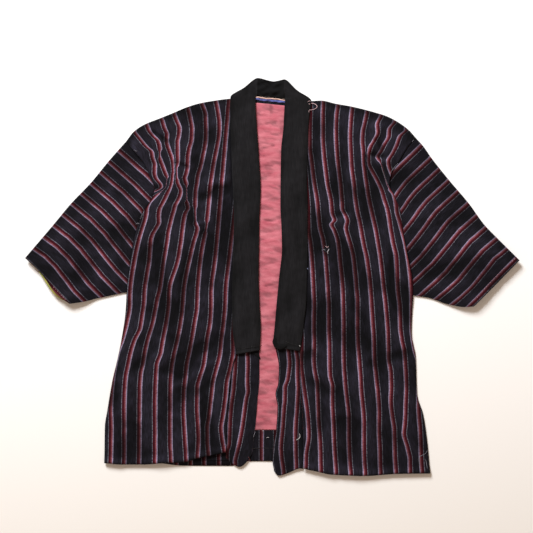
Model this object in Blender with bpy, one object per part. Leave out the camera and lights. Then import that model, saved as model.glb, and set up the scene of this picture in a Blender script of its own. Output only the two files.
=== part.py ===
# A lined noragi, the Japanese farm work jacket, laid out flat with its front up.
# Each body half is one loom width that runs from the front hem over the shoulder to the back hem.
# A narrow gore widens each front below the collar, a tapered sleeve joins each side, and one doubled
# collar runs from front to front around the neck. Inside, a pink lining and a hem facing show.
# Tables are in millimetres: x to the viewer's right, y towards the collar, both from the middle.

import math
from bisect import bisect_right

import bmesh
import bpy

mm = 0.001
middle = {"x": 1.6, "y": -0.4}  # where the laid-out jacket's own middle lies in the tables

cloth = 1.2  # one layer of the striped cloth with its backing
gap = 0.3  # left between pieces at seams and between layers that lie on each other
lining_wall = 1.0
collar_wall = 2.6  # the strip is folded in half along its length
front_top = 4.0  # top of a front panel where it lies flat on lining and back
cuff_top = 5.2  # a sleeve stands a little fuller at its open end
underside_share = 0.6  # of a fold's height, how much the cloth's underside follows
seam_step = 0.45  # how far a piece's edge steps aside so that slanted seams keep their gap
side_drop_length = 0.12  # of the armhole's length, over which a front comes down to its side seam
turn_angles = [90, 66, 44, 22, 0, -22, -44, -66, -90]  # rows around a doubled edge, top to underside

lining_inset = 14.0  # the back lining stops this far inside each side edge
lining_neck_half = 46.0
lining_below_neck = 13.6
lining_below_shoulder = 10.0
lining_bottom = -322.0
facing_bottom = -386.5
neck_strip_span = {"from": -36.0, "to": 32.0}
neck_strips = [
    {"colour": "salmon", "below": 0.8, "width": 2.6},
    {"colour": "blue", "below": 5.9, "width": 2.7},
]
cuff_lining_span = {"from": 0.3, "to": 0.88}  # shares of the cuff's length
cuff_lining_reach = 4.5  # how far it shows past the cuff
cuff_lining_depth = 40.0
sleeve_direction = {"x": -0.66, "y": -0.75}  # of the left sleeve, out of its cuff
neck_share = 0.03  # of a back's length, over which its middle edge turns from the neck to the seam

armhole_rows = 12
skirt_rows = 11
back_skirt_rows = 5
back_armhole_rows = 4
back_columns = 24
lining_rows = 12
body_columns = [0.0, 0.03, 0.09, 0.16, 0.23, 0.3, 0.37, 0.44, 0.51, 0.58, 0.65, 0.72, 0.79, 0.86, 0.93, 1.0]
gore_columns = 5
sleeve_sections = 12
collar_across = 4

colours = {
    "striped cotton": (0.020, 0.019, 0.026),
    "black collar cotton": (0.018, 0.017, 0.018),
    "pink lining": (0.62, 0.17, 0.18),
    "salmon piping": (0.62, 0.42, 0.36),
    "blue piping": (0.20, 0.20, 0.50),
    "green sleeve lining": (0.32, 0.34, 0.08),
}

# The left half, on the viewer's left.
left_seam = [  # front armhole seam, from the shoulder down to the underarm
    {"y": 282.5, "x": -305.6},
    {"y": 259.0, "x": -284.6},
    {"y": 232.0, "x": -263.6},
    {"y": 207.0, "x": -254.0},
    {"y": 184.0, "x": -245.5},
    {"y": 167.0, "x": -249.0},
    {"y": 133.0, "x": -270.0},
    {"y": 109.0, "x": -279.5},
    {"y": 77.0, "x": -288.0},
    {"y": 35.0, "x": -295.0},
    {"y": -5.0, "x": -300.5},
    {"y": -33.0, "x": -303.5},
]
left_side = [  # side seam, from the underarm down to the hem
    {"y": -33.0, "x": -303.5},
    {"y": -77.0, "x": -306.6},
    {"y": -133.0, "x": -315.0},
    {"y": -175.0, "x": -323.5},
    {"y": -217.0, "x": -333.5},
    {"y": -282.0, "x": -344.6},
    {"y": -316.0, "x": -349.7},
    {"y": -391.0, "x": -350.7},
]
left_shoulder = [
    {"x": -305.6, "y": 282.5},
    {"x": -288.0, "y": 304.7},
    {"x": -263.6, "y": 320.2},
    {"x": -236.0, "y": 331.0},
    {"x": -207.7, "y": 342.5},
    {"x": -179.6, "y": 354.3},
    {"x": -152.3, "y": 362.9},
    {"x": -117.2, "y": 369.2},
    {"x": -87.6, "y": 372.8},
    {"x": -43.0, "y": 374.5},
]
left_hem = [
    {"x": -350.7, "y": -391.0},
    {"x": -310.8, "y": -393.8},
    {"x": -268.6, "y": -393.8},
    {"x": -226.4, "y": -391.0},
    {"x": -187.1, "y": -389.5},
    {"x": -156.5, "y": -381.2},
    {"x": -128.1, "y": -375.5},
    {"x": -96.0, "y": -368.5},
]
left_gore_seam = [  # where the front ends and its gore begins; the collar hides the part above -160
    {"y": 374.5, "x": -43.0},
    {"y": 267.0, "x": -46.0},
    {"y": 160.0, "x": -51.0},
    {"y": 55.0, "x": -59.0},
    {"y": -49.0, "x": -67.0},
    {"y": -163.0, "x": -74.6},
    {"y": -180.0, "x": -80.2},
    {"y": -218.0, "x": -86.7},
    {"y": -255.0, "x": -89.7},
    {"y": -322.0, "x": -93.9},
    {"y": -368.5, "x": -96.0},
]
left_front_edge = [  # the gore's free edge, from its point under the collar to the hem
    {"y": 160.0, "x": -29.0},
    {"y": 55.0, "x": -27.0},
    {"y": -49.0, "x": -26.5},
    {"y": -160.0, "x": -25.4},
    {"y": -217.0, "x": -25.4},
    {"y": -259.0, "x": -29.6},
    {"y": -302.0, "x": -32.6},
    {"y": -336.0, "x": -36.8},
    {"y": -372.8, "x": -41.0},
]
left_gore_hem = [
    {"x": -94.0, "y": -381.0},
    {"x": -82.9, "y": -391.0},
    {"x": -66.2, "y": -399.4},
    {"x": -57.8, "y": -395.2},
    {"x": -41.0, "y": -372.8},
]
left_back_hem = [
    {"x": -350.7, "y": -391.0},
    {"x": -250.0, "y": -391.0},
    {"x": -185.0, "y": -397.0},
    {"x": -83.0, "y": -397.5},
    {"x": -52.0, "y": -388.0},
    {"x": 0.0, "y": -387.5},
]
left_sleeve_fold = [  # the doubled upper edge, from the cuff to the shoulder
    {"x": -515.6, "y": 38.9},
    {"x": -458.9, "y": 106.1},
    {"x": -421.1, "y": 152.3},
    {"x": -379.1, "y": 196.4},
    {"x": -339.2, "y": 244.7},
    {"x": -305.6, "y": 282.5},
]
left_sleeve_seam = [  # the lower edge, from the cuff to the underarm
    {"x": -422.3, "y": -57.1},
    {"x": -394.2, "y": -53.1},
    {"x": -367.5, "y": -46.4},
    {"x": -341.3, "y": -41.0},
    {"x": -303.5, "y": -33.0},
]
left_cuff = [
    {"x": -515.6, "y": 38.9},
    {"x": -482.6, "y": 7.4},
    {"x": -450.5, "y": -35.7},
    {"x": -422.3, "y": -57.1},
]

# The right half, on the viewer's right.
right_seam = [
    {"y": 288.0, "x": 305.0},
    {"y": 276.0, "x": 289.0},
    {"y": 239.0, "x": 266.0},
    {"y": 211.0, "x": 249.5},
    {"y": 191.0, "x": 246.8},
    {"y": 170.0, "x": 257.3},
    {"y": 129.0, "x": 272.0},
    {"y": 96.0, "x": 276.2},
    {"y": 53.0, "x": 283.1},
    {"y": 25.0, "x": 289.4},
    {"y": -9.0, "x": 295.5},
    {"y": -40.0, "x": 297.2},
]
right_side = [
    {"y": -40.0, "x": 297.2},
    {"y": -119.0, "x": 294.0},
    {"y": -167.0, "x": 302.4},
    {"y": -247.0, "x": 305.6},
    {"y": -289.0, "x": 318.2},
    {"y": -345.0, "x": 326.6},
    {"y": -412.6, "x": 332.9},
]
right_shoulder = [
    {"x": 305.0, "y": 288.0},
    {"x": 286.6, "y": 308.3},
    {"x": 261.5, "y": 326.1},
    {"x": 241.1, "y": 336.4},
    {"x": 225.8, "y": 341.5},
    {"x": 167.4, "y": 356.6},
    {"x": 134.2, "y": 362.5},
    {"x": 103.7, "y": 369.0},
    {"x": 85.9, "y": 368.1},
    {"x": 45.0, "y": 370.0},
]
right_hem = [
    {"x": 332.9, "y": -412.6},
    {"x": 264.4, "y": -413.5},
    {"x": 194.3, "y": -417.7},
    {"x": 126.6, "y": -415.0},
    {"x": 92.8, "y": -408.0},
    {"x": 66.2, "y": -402.4},
]
right_gore_seam = [
    {"y": 370.0, "x": 45.0},
    {"y": 267.0, "x": 47.0},
    {"y": 160.0, "x": 50.0},
    {"y": 55.0, "x": 53.0},
    {"y": -49.0, "x": 56.0},
    {"y": -158.0, "x": 59.6},
    {"y": -217.0, "x": 61.6},
    {"y": -270.0, "x": 64.0},
    {"y": -331.0, "x": 66.2},
    {"y": -402.4, "x": 66.2},
]
right_front_edge = [
    {"y": 160.0, "x": 21.5},
    {"y": 55.0, "x": 23.5},
    {"y": -49.0, "x": 12.5},
    {"y": -140.0, "x": 7.5},
    {"y": -190.0, "x": 15.5},
    {"y": -224.0, "x": 14.1},
    {"y": -246.0, "x": 8.4},
    {"y": -272.0, "x": 12.6},
    {"y": -319.0, "x": 9.9},
    {"y": -359.0, "x": 4.2},
    {"y": -387.0, "x": 2.3},
    {"y": -409.0, "x": 5.7},
]
right_gore_hem = [
    {"x": 64.0, "y": -403.5},
    {"x": 59.0, "y": -402.4},
    {"x": 33.8, "y": -412.2},
    {"x": 14.1, "y": -417.7},
    {"x": 5.7, "y": -409.0},
]
right_back_hem = [
    {"x": 332.9, "y": -412.6},
    {"x": 200.0, "y": -408.0},
    {"x": 60.0, "y": -392.0},
    {"x": 0.0, "y": -387.5},
]
right_sleeve_fold = [
    {"x": 518.9, "y": 34.2},
    {"x": 472.7, "y": 80.4},
    {"x": 445.0, "y": 109.8},
    {"x": 414.1, "y": 152.9},
    {"x": 371.1, "y": 203.7},
    {"x": 335.6, "y": 248.4},
    {"x": 317.1, "y": 274.7},
    {"x": 305.0, "y": 288.0},
]
right_sleeve_seam = [
    {"x": 423.2, "y": -62.8},
    {"x": 404.3, "y": -64.1},
    {"x": 367.9, "y": -57.8},
    {"x": 330.8, "y": -45.2},
    {"x": 297.2, "y": -40.0},
]
right_cuff = [
    {"x": 518.9, "y": 34.2},
    {"x": 471.0, "y": -15.0},
    {"x": 423.2, "y": -62.8},
]

back_seam_bow = 9.0  # a back armhole seam bows this far in from a straight line
neck_line = {"y": 375.0, "slope": -0.1}  # the back neck seam, between the collar's two runs

# The collar, by cross-sections from its left end round the neck to its right end: the edge at the
# neck opening, the outer edge, and how high its underside lies.
collar_sections = [
    {"inner_x": -24.2, "inner_y": -154.8, "outer_x": -74.6, "outer_y": -163.2, "under": 4.3},
    {"inner_x": -22.5, "inner_y": -106.0, "outer_x": -81.7, "outer_y": -106.0, "under": 4.3},
    {"inner_x": -25.4, "inner_y": -49.4, "outer_x": -83.0, "outer_y": -49.4, "under": 4.3},
    {"inner_x": -26.7, "inner_y": 0.0, "outer_x": -82.0, "outer_y": 0.0, "under": 4.3},
    {"inner_x": -26.2, "inner_y": 60.0, "outer_x": -80.0, "outer_y": 60.0, "under": 4.3},
    {"inner_x": -25.2, "inner_y": 125.0, "outer_x": -78.8, "outer_y": 125.0, "under": 4.3},
    {"inner_x": -22.7, "inner_y": 181.7, "outer_x": -80.8, "outer_y": 181.7, "under": 4.3},
    {"inner_x": -25.6, "inner_y": 240.0, "outer_x": -83.2, "outer_y": 240.0, "under": 4.3},
    {"inner_x": -30.5, "inner_y": 311.9, "outer_x": -85.5, "outer_y": 311.9, "under": 4.3},
    {"inner_x": -33.0, "inner_y": 352.0, "outer_x": -87.2, "outer_y": 352.0, "under": 4.3},
    {"inner_x": -33.6, "inner_y": 376.5, "outer_x": -86.0, "outer_y": 376.5, "under": 4.3},
    {"inner_x": -33.0, "inner_y": 378.8, "outer_x": -58.0, "outer_y": 396.0, "under": 3.0},
    {"inner_x": -31.0, "inner_y": 379.0, "outer_x": -29.0, "outer_y": 416.5, "under": 1.6},
    {"inner_x": -14.0, "inner_y": 377.0, "outer_x": -8.5, "outer_y": 412.0, "under": 0.6},
    {"inner_x": 0.0, "inner_y": 375.6, "outer_x": 4.5, "outer_y": 409.5, "under": 0.6},
    {"inner_x": 13.0, "inner_y": 374.3, "outer_x": 16.5, "outer_y": 411.5, "under": 0.6},
    {"inner_x": 26.0, "inner_y": 373.0, "outer_x": 27.3, "outer_y": 413.7, "under": 1.6},
    {"inner_x": 27.6, "inner_y": 372.8, "outer_x": 54.0, "outer_y": 390.6, "under": 3.0},
    {"inner_x": 28.0, "inner_y": 370.8, "outer_x": 83.4, "outer_y": 368.6, "under": 4.3},
    {"inner_x": 26.3, "inner_y": 340.0, "outer_x": 79.6, "outer_y": 340.0, "under": 4.3},
    {"inner_x": 24.8, "inner_y": 311.9, "outer_x": 77.2, "outer_y": 311.9, "under": 4.3},
    {"inner_x": 20.0, "inner_y": 265.0, "outer_x": 75.6, "outer_y": 265.0, "under": 4.3},
    {"inner_x": 18.9, "inner_y": 200.0, "outer_x": 73.8, "outer_y": 200.0, "under": 4.3},
    {"inner_x": 18.5, "inner_y": 150.0, "outer_x": 75.6, "outer_y": 150.0, "under": 4.3},
    {"inner_x": 21.0, "inner_y": 97.7, "outer_x": 75.6, "outer_y": 97.7, "under": 4.3},
    {"inner_x": 21.8, "inner_y": 57.8, "outer_x": 75.6, "outer_y": 57.8, "under": 4.3},
    {"inner_x": 16.6, "inner_y": 5.0, "outer_x": 74.5, "outer_y": 5.0, "under": 4.3},
    {"inner_x": 11.3, "inner_y": -49.4, "outer_x": 73.1, "outer_y": -49.4, "under": 4.3},
    {"inner_x": 7.1, "inner_y": -98.0, "outer_x": 68.0, "outer_y": -98.0, "under": 4.3},
    {"inner_x": 3.6, "inner_y": -140.0, "outer_x": 62.5, "outer_y": -140.0, "under": 4.3},
    {"inner_x": 5.7, "inner_y": -148.1, "outer_x": 59.5, "outer_y": -156.5, "under": 4.3},
]

# The largest folds that stand up from the cloth: a crest from one end to the other, its half width
# and its height.
left_folds = [
    {"x0": -290.0, "y0": 286.0, "x1": -247.0, "y1": 205.0, "width": 12.0, "height": 3.4},
    {"x0": -236.0, "y0": 320.0, "x1": -228.0, "y1": 186.0, "width": 13.0, "height": 2.6},
    {"x0": -196.0, "y0": 330.0, "x1": -199.0, "y1": 165.0, "width": 13.0, "height": 3.0},
    {"x0": -166.0, "y0": 330.0, "x1": -186.0, "y1": 196.0, "width": 12.0, "height": 2.2},
    {"x0": -232.0, "y0": 175.0, "x1": -268.0, "y1": 60.0, "width": 14.0, "height": 3.0},
    {"x0": -128.0, "y0": 290.0, "x1": -132.0, "y1": 100.0, "width": 15.0, "height": 2.4},
    {"x0": -200.0, "y0": 120.0, "x1": -218.0, "y1": -60.0, "width": 16.0, "height": 1.8},
    {"x0": -286.0, "y0": -80.0, "x1": -322.0, "y1": -330.0, "width": 16.0, "height": 2.2},
    {"x0": -236.0, "y0": -120.0, "x1": -262.0, "y1": -370.0, "width": 17.0, "height": 2.4},
    {"x0": -150.0, "y0": -140.0, "x1": -170.0, "y1": -360.0, "width": 16.0, "height": 2.0},
    {"x0": -104.0, "y0": -160.0, "x1": -112.0, "y1": -350.0, "width": 9.0, "height": 2.4},
]
right_folds = [
    {"x0": 226.0, "y0": 325.0, "x1": 203.0, "y1": 250.0, "width": 12.0, "height": 3.2},
    {"x0": 262.0, "y0": 300.0, "x1": 234.0, "y1": 232.0, "width": 12.0, "height": 3.4},
    {"x0": 176.0, "y0": 330.0, "x1": 168.0, "y1": 190.0, "width": 14.0, "height": 2.4},
    {"x0": 236.0, "y0": 190.0, "x1": 274.0, "y1": 20.0, "width": 13.0, "height": 2.8},
    {"x0": 126.0, "y0": 108.0, "x1": 172.0, "y1": 128.0, "width": 12.0, "height": 2.4},
    {"x0": 205.0, "y0": 110.0, "x1": 232.0, "y1": -80.0, "width": 17.0, "height": 2.0},
    {"x0": 118.0, "y0": 280.0, "x1": 112.0, "y1": 120.0, "width": 14.0, "height": 1.8},
    {"x0": 254.0, "y0": -120.0, "x1": 286.0, "y1": -370.0, "width": 16.0, "height": 2.2},
    {"x0": 190.0, "y0": -170.0, "x1": 206.0, "y1": -390.0, "width": 17.0, "height": 2.4},
    {"x0": 128.0, "y0": -150.0, "x1": 116.0, "y1": -380.0, "width": 15.0, "height": 2.0},
    {"x0": 76.0, "y0": -175.0, "x1": 84.0, "y1": -370.0, "width": 9.0, "height": 2.2},
]
left_gore_folds = [
    {"x0": -60.0, "y0": -180.0, "x1": -66.0, "y1": -370.0, "width": 12.0, "height": 1.8},
]
right_gore_folds = [
    {"x0": 42.0, "y0": -180.0, "x1": 40.0, "y1": -385.0, "width": 12.0, "height": 1.8},
]
left_sleeve_folds = [
    {"x0": -452.0, "y0": 82.0, "x1": -330.0, "y1": 30.0, "width": 20.0, "height": 1.6},
    {"x0": -360.0, "y0": 190.0, "x1": -285.0, "y1": 110.0, "width": 18.0, "height": 1.8},
]
right_sleeve_folds = [
    {"x0": 452.0, "y0": 78.0, "x1": 332.0, "y1": 24.0, "width": 20.0, "height": 1.6},
    {"x0": 362.0, "y0": 186.0, "x1": 290.0, "y1": 106.0, "width": 18.0, "height": 1.8},
]


def clear_scene():
    for thing in list(bpy.data.objects):
        bpy.data.objects.remove(thing, do_unlink=True)


def material(name):
    found = bpy.data.materials.get(name)
    if found:
        return found
    made = bpy.data.materials.new(name)
    made.use_nodes = True
    surface = made.node_tree.nodes["Principled BSDF"]
    surface.inputs["Base Color"].default_value = (*colours[name], 1.0)
    surface.inputs["Roughness"].default_value = 0.9
    surface.inputs["Metallic"].default_value = 0.0
    return made


def read_table(table, along, value, at):
    """A smooth curve through a table's rows, read at one place."""
    rows = sorted(table, key=lambda row: row[along])
    places = [row[along] for row in rows]
    values = [row[value] for row in rows]
    last = len(rows) - 1
    if at <= places[0]:
        return values[0]
    if at >= places[last]:
        return values[last]
    i = bisect_right(places, at) - 1
    span = places[i + 1] - places[i]
    slope = (values[i + 1] - values[i]) / span

    def tangent(k):
        if k in (0, last):
            return slope
        before = (values[k] - values[k - 1]) / (places[k] - places[k - 1])
        after = (values[k + 1] - values[k]) / (places[k + 1] - places[k])
        return 0.0 if before * after <= 0 else 2 * before * after / (before + after)

    t = (at - places[i]) / span
    rise = tangent(i) * span * (t - 2 * t * t + t**3)
    fall = tangent(i + 1) * span * (t**3 - t * t)
    return values[i] + (values[i + 1] - values[i]) * t * t * (3 - 2 * t) + rise + fall


def edge_by(table, along):
    """An edge as a function of 0 to 1 that gives x and y, from the table's first row to its last."""
    value = "x" if along == "y" else "y"
    start = table[0][along]
    end = table[-1][along]

    def point(share):
        at = start + (end - start) * share
        other = read_table(table, along, value, at)
        return (other, at) if along == "y" else (at, other)

    return point


def patch(top, bottom, left, right):
    """A surface between four edges: u runs from left to right, v from top to bottom."""

    def point(u, v):
        across = [(1 - v) * a + v * b for a, b in zip(top(u), bottom(u))]
        down = [(1 - u) * a + u * b for a, b in zip(left(v), right(v))]
        corners = [
            (1 - u) * ((1 - v) * a + v * c) + u * ((1 - v) * b + v * d)
            for a, b, c, d in zip(top(0), top(1), bottom(0), bottom(1))
        ]
        return tuple(a + b - c for a, b, c in zip(across, down, corners))

    return point


def ease(t):
    t = min(1.0, max(0.0, t))
    return t * t * (3 - 2 * t)


def fold_height(folds, x, y):
    """How far the folds lift the cloth at one place."""
    lift = 0.0
    for fold in folds:
        run = (fold["x1"] - fold["x0"], fold["y1"] - fold["y0"])
        length = math.hypot(*run)
        away = (x - fold["x0"], y - fold["y0"])
        along = (away[0] * run[0] + away[1] * run[1]) / length
        aside = (away[0] * run[1] - away[1] * run[0]) / length
        ends = ease(along / (0.3 * length) + 0.3) * ease((length - along) / (0.3 * length) + 0.3)
        lift += fold["height"] * ends * math.exp(-((aside / fold["width"]) ** 2))
    return lift


def closed_wall(name, outer, inner, ring, finish):
    """A cloth wall from its outer and inner points, row by row; a ring's rows join end to end."""
    mesh = bmesh.new()
    rows = len(outer)
    columns = len(outer[0])
    layers = []
    for points in (outer, inner):
        layers.append(
            [
                [mesh.verts.new(((x - middle["x"]) * mm, (y - middle["y"]) * mm, z * mm)) for x, y, z in row]
                for row in points
            ]
        )
    around = rows if ring else rows - 1
    for layer in layers:
        for i in range(around):
            for j in range(columns - 1):
                after = (i + 1) % rows
                mesh.faces.new((layer[i][j], layer[i][j + 1], layer[after][j + 1], layer[after][j]))
    top, under = layers
    for i in range(around):
        after = (i + 1) % rows
        for j in (0, columns - 1):
            mesh.faces.new((top[i][j], top[after][j], under[after][j], under[i][j]))
    if not ring:
        for i in (0, rows - 1):
            for j in range(columns - 1):
                mesh.faces.new((top[i][j], top[i][j + 1], under[i][j + 1], under[i][j]))
    bmesh.ops.recalc_face_normals(mesh, faces=mesh.faces)
    data = bpy.data.meshes.new(name)
    mesh.to_mesh(data)
    mesh.free()
    data.shade_smooth()
    data.set_sharp_from_angle(angle=math.radians(50))
    made = bpy.data.objects.new(name, data)
    bpy.context.scene.collection.objects.link(made)
    made.data.materials.append(material(finish))
    return made


def bowed_seam(table):
    """A back armhole seam: straight from shoulder to underarm but for a slight bow to the middle."""
    start = table[0]
    end = table[-1]
    inward = -math.copysign(1.0, start["x"])

    def point(share):
        x = start["x"] + (end["x"] - start["x"]) * share + inward * back_seam_bow * math.sin(math.pi * share)
        return x, start["y"] + (end["y"] - start["y"]) * share

    return point


def armhole_length(seam):
    return seam[0]["y"] - seam[-1]["y"]


def seam_then_side(seam_point, seam, side):
    """A body half's outer edge from shoulder to hem, at v: 1 at the underarm, more down to the hem."""

    def point(v):
        if v <= 1:
            return seam_point(v)
        y = seam[0]["y"] - v * armhole_length(seam)
        return read_table(side, "y", "x", y), y

    return point


def stretched(point, whole):
    return lambda share: point(share * whole)


def front_rows(whole):
    """The rows of a front from its hem up to the armhole's top, at v."""
    rows = [1 + (whole - 1) * k / skirt_rows for k in range(skirt_rows, 0, -1)]
    return rows + [k / armhole_rows for k in range(armhole_rows, 0, -1)]


def neck_height(x):
    return neck_line["y"] + neck_line["slope"] * x


def turned(surface, u, start, inward, angle, radius, wall, length):
    """A point on a doubled edge: the angle is 90 on its upper side and -90 underneath."""
    reach = (radius - (radius - wall) * math.cos(angle)) / length
    x, y = surface(u, start + inward * reach)
    return x, y, radius + (radius - wall) * math.sin(angle)


def body_half(half):
    """One loom width from the front hem over the shoulder to the back hem."""
    seam = half["seam"]
    side = half["side"]
    gore_seam = half["gore_seam"]
    back_hem = half["back_hem"]
    armhole = armhole_length(seam)
    whole = (seam[0]["y"] - side[-1]["y"]) / armhole
    front_side = seam_then_side(edge_by(seam, "y"), seam, side)
    back_side = seam_then_side(bowed_seam(seam), seam, side)
    centre = 0.5 * gap * math.copysign(1.0, seam[0]["x"])
    neck_point = (gore_seam[0]["x"], gore_seam[0]["y"])
    back_top = neck_height(centre) - gap

    def back_middle(share):
        if share < neck_share:
            x = neck_point[0] + (centre - neck_point[0]) * share / neck_share
            rise = ease(4 * share / neck_share)
            return x, neck_point[1] + (neck_height(x) - gap - neck_point[1]) * rise
        down = (share - neck_share) / (1 - neck_share)
        return centre, back_top + (back_hem[-1]["y"] - back_top) * down

    def back_bottom(u):
        x, y = edge_by(back_hem, "x")(u)
        return x + (centre - back_hem[-1]["x"]) * u, y

    shoulder = edge_by(half["shoulder"], "x")
    hem = edge_by(half["hem"], "x")
    front_patch = patch(shoulder, hem, stretched(front_side, whole), edge_by(gore_seam, "y"))
    back_patch = patch(shoulder, back_bottom, stretched(back_side, whole), back_middle)

    def front(u, v):
        return front_patch(u, v / whole)

    def back(u, v):
        return back_patch(u, v / whole)

    def height(u, v):
        x, y = front(u, v)
        drop = ease((v - 1.0) / side_drop_length) * (1 - ease(u / body_columns[1]))
        lift = fold_height(half["folds"], x, y) * (1 - drop)
        return front_top - (front_top - 2 * cloth - gap) * drop, lift

    back_rows = [neck_share * whole * share for share in (0.5, 1.0)]
    back_rows += [k / back_armhole_rows for k in range(1, back_armhole_rows + 1)]
    back_rows += [1 + (whole - 1) * k / back_skirt_rows for k in range(1, back_skirt_rows + 1)]
    outer = []
    inner = []
    for v in front_rows(whole):
        places = [(*front(u, v), *height(u, v)) for u in body_columns]
        outer.append([(x, y, top + lift) for x, y, top, lift in places])
        inner.append([(x, y, top + underside_share * lift - cloth) for x, y, top, lift in places])
    for degrees in turn_angles:
        angle = math.radians(degrees)
        surface = front if degrees >= 0 else back
        for rows, wall in ((outer, 0.0), (inner, cloth)):
            row = []
            for u in body_columns:
                radius = sum(height(u, 0.0)) / 2
                row.append(turned(surface, u, 0.0, 1, angle, radius, wall, armhole))
            rows.append(row)
    for v in back_rows:
        places = [back(u, v) for u in body_columns]
        outer.append([(x, y, 0.0) for x, y in places])
        inner.append([(x, y, cloth) for x, y in places])
    return closed_wall(half["name"] + "_body", outer, inner, False, "striped cotton")


def gore(half):
    """The narrow gore that widens a front, from its point under the collar to the hem."""
    seam = half["seam"]
    gore_seam = half["gore_seam"]
    front_edge = half["front_edge"]
    gore_hem = half["gore_hem"]
    side = math.copysign(1.0, gore_seam[0]["x"])
    top_y = front_edge[0]["y"]
    whole = (seam[0]["y"] - half["side"][-1]["y"]) / armhole_length(seam)
    seam_fall = gore_seam[0]["y"] - gore_seam[-1]["y"]
    heights = [gore_seam[0]["y"] - seam_fall * v / whole for v in reversed(front_rows(whole))]
    rows = [0.0] + [(top_y - y) / (top_y - gore_hem[0]["y"]) for y in heights if y < top_y - 5.0] + [1.0]

    def seam_edge(share):
        y = top_y + (gore_hem[0]["y"] - top_y) * share
        return read_table(gore_seam, "y", "x", y) - side * seam_step, y

    def top_edge(u):
        start = seam_edge(0)
        return start[0] + (front_edge[0]["x"] - start[0]) * u, top_y

    surface = patch(top_edge, edge_by(gore_hem, "x"), seam_edge, edge_by(front_edge, "y"))
    outer = []
    inner = []
    for v in rows:
        places = [surface(j / gore_columns, v) for j in range(gore_columns + 1)]
        lifts = [fold_height(half["gore_folds"], x, y) for x, y in places]
        outer.append([(x, y, front_top + lift) for (x, y), lift in zip(places, lifts)])
        inner.append(
            [(x, y, front_top - cloth + underside_share * lift) for (x, y), lift in zip(places, lifts)]
        )
    return closed_wall(half["name"] + "_gore", outer, inner, False, "striped cotton")


def sleeve_surface(half, seam_point, away):
    """A sleeve's upper or under layer: u from the cuff to the armhole, v from fold to lower edge."""

    def armhole_edge(v):
        x, y = seam_point(v)
        return x + away * seam_step, y

    def ended(table, v):
        edge = edge_by(table, "x")

        def point(u):
            return tuple(a + (b - c) * u for a, b, c in zip(edge(u), armhole_edge(v), edge(1)))

        return point

    upper = ended(half["sleeve_fold"], 0)
    lower = ended(half["sleeve_seam"], 1)
    return patch(upper, lower, edge_by(half["cuff"], "x"), armhole_edge)


def sleeve(half):
    """A sleeve folded along its upper edge and sewn along its lower one, open at cuff and armhole."""
    seam = half["seam"]
    away = math.copysign(1.0, seam[0]["x"])
    armhole = armhole_length(seam)
    front = sleeve_surface(half, edge_by(seam, "y"), away)
    back = sleeve_surface(half, bowed_seam(seam), away)

    def height(u, v):
        x, y = front(u, v)
        lift = fold_height(half["sleeve_folds"], x, y) * ease(4 * v) * ease(4 - 4 * v)
        return front_top + (cuff_top - front_top) * ease(1 - u), lift

    columns = [j / sleeve_sections for j in range(sleeve_sections + 1)]
    outer = []
    inner = []

    def add_turn(start, inward, angles):
        for degrees in angles:
            angle = math.radians(degrees)
            surface = front if degrees >= 0 else back
            for rows, wall in ((outer, 0.0), (inner, cloth)):
                radii = [height(u, 0.0)[0] / 2 for u in columns]
                rows.append(
                    [
                        turned(surface, u, start, inward, angle, radius, wall, armhole)
                        for u, radius in zip(columns, radii)
                    ]
                )

    add_turn(0.0, 1, reversed(turn_angles))
    for k in range(1, armhole_rows):
        v = k / armhole_rows
        places = [(*front(u, v), *height(u, v)) for u in columns]
        outer.append([(x, y, top + lift) for x, y, top, lift in places])
        inner.append([(x, y, top + underside_share * lift - cloth) for x, y, top, lift in places])
    add_turn(1.0, -1, turn_angles)
    for k in range(back_armhole_rows - 1, 0, -1):
        places = [back(u, k / back_armhole_rows) for u in columns]
        outer.append([(x, y, 0.0) for x, y in places])
        inner.append([(x, y, cloth) for x, y in places])
    return closed_wall(half["name"] + "_sleeve", outer, inner, True, "striped cotton")


def collar():
    """One doubled strip from front end to front end, turned at both sides of the neck."""
    outer = []
    inner = []
    for row in collar_sections:
        upper = []
        lower = []
        for k in range(collar_across + 1):
            share = k / collar_across
            x = row["inner_x"] + (row["outer_x"] - row["inner_x"]) * share
            y = row["inner_y"] + (row["outer_y"] - row["inner_y"]) * share
            upper.append((x, y, row["under"] + collar_wall))
            lower.append((x, y, row["under"]))
        outer.append(upper)
        inner.append(lower)
    return closed_wall("collar", outer, inner, False, "black collar cotton")


def flat_piece(name, surface, rows, columns, finish):
    """A level piece of thin cloth on the back, over u and v from 0 to 1."""
    under = cloth + gap
    places = [[surface(j / columns, i / rows) for j in range(columns + 1)] for i in range(rows + 1)]
    outer = [[(x, y, under + lining_wall) for x, y in row] for row in places]
    inner = [[(x, y, under) for x, y in row] for row in places]
    return closed_wall(name, outer, inner, False, finish)


def back_edge(seam, side, y):
    """How far the back reaches to one side at a height, less the seam allowance of the lining."""
    v = (seam[0]["y"] - y) / armhole_length(seam)
    x, _ = seam_then_side(bowed_seam(seam), seam, side)(max(0.0, v))
    return x - math.copysign(lining_inset, x)


def lining_top(x):
    if abs(x) < lining_neck_half:
        return neck_height(x) - lining_below_neck
    shoulder = left_shoulder if x < 0 else right_shoulder
    below_shoulder = read_table(shoulder, "x", "y", x) - lining_below_shoulder
    return min(below_shoulder, neck_height(x) - lining_below_neck)


def across_back(top, bottom):
    """A surface as wide as the inside of the back, between an upper and a lower edge."""

    def surface(u, v):
        left = back_edge(left_seam, left_side, 300.0)
        right = back_edge(right_seam, right_side, 300.0)
        high = top(left + (right - left) * u)
        y = high + (bottom - high) * v
        low_x = back_edge(left_seam, left_side, y)
        high_x = back_edge(right_seam, right_side, y)
        return low_x + (high_x - low_x) * u, y

    return surface


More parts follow.
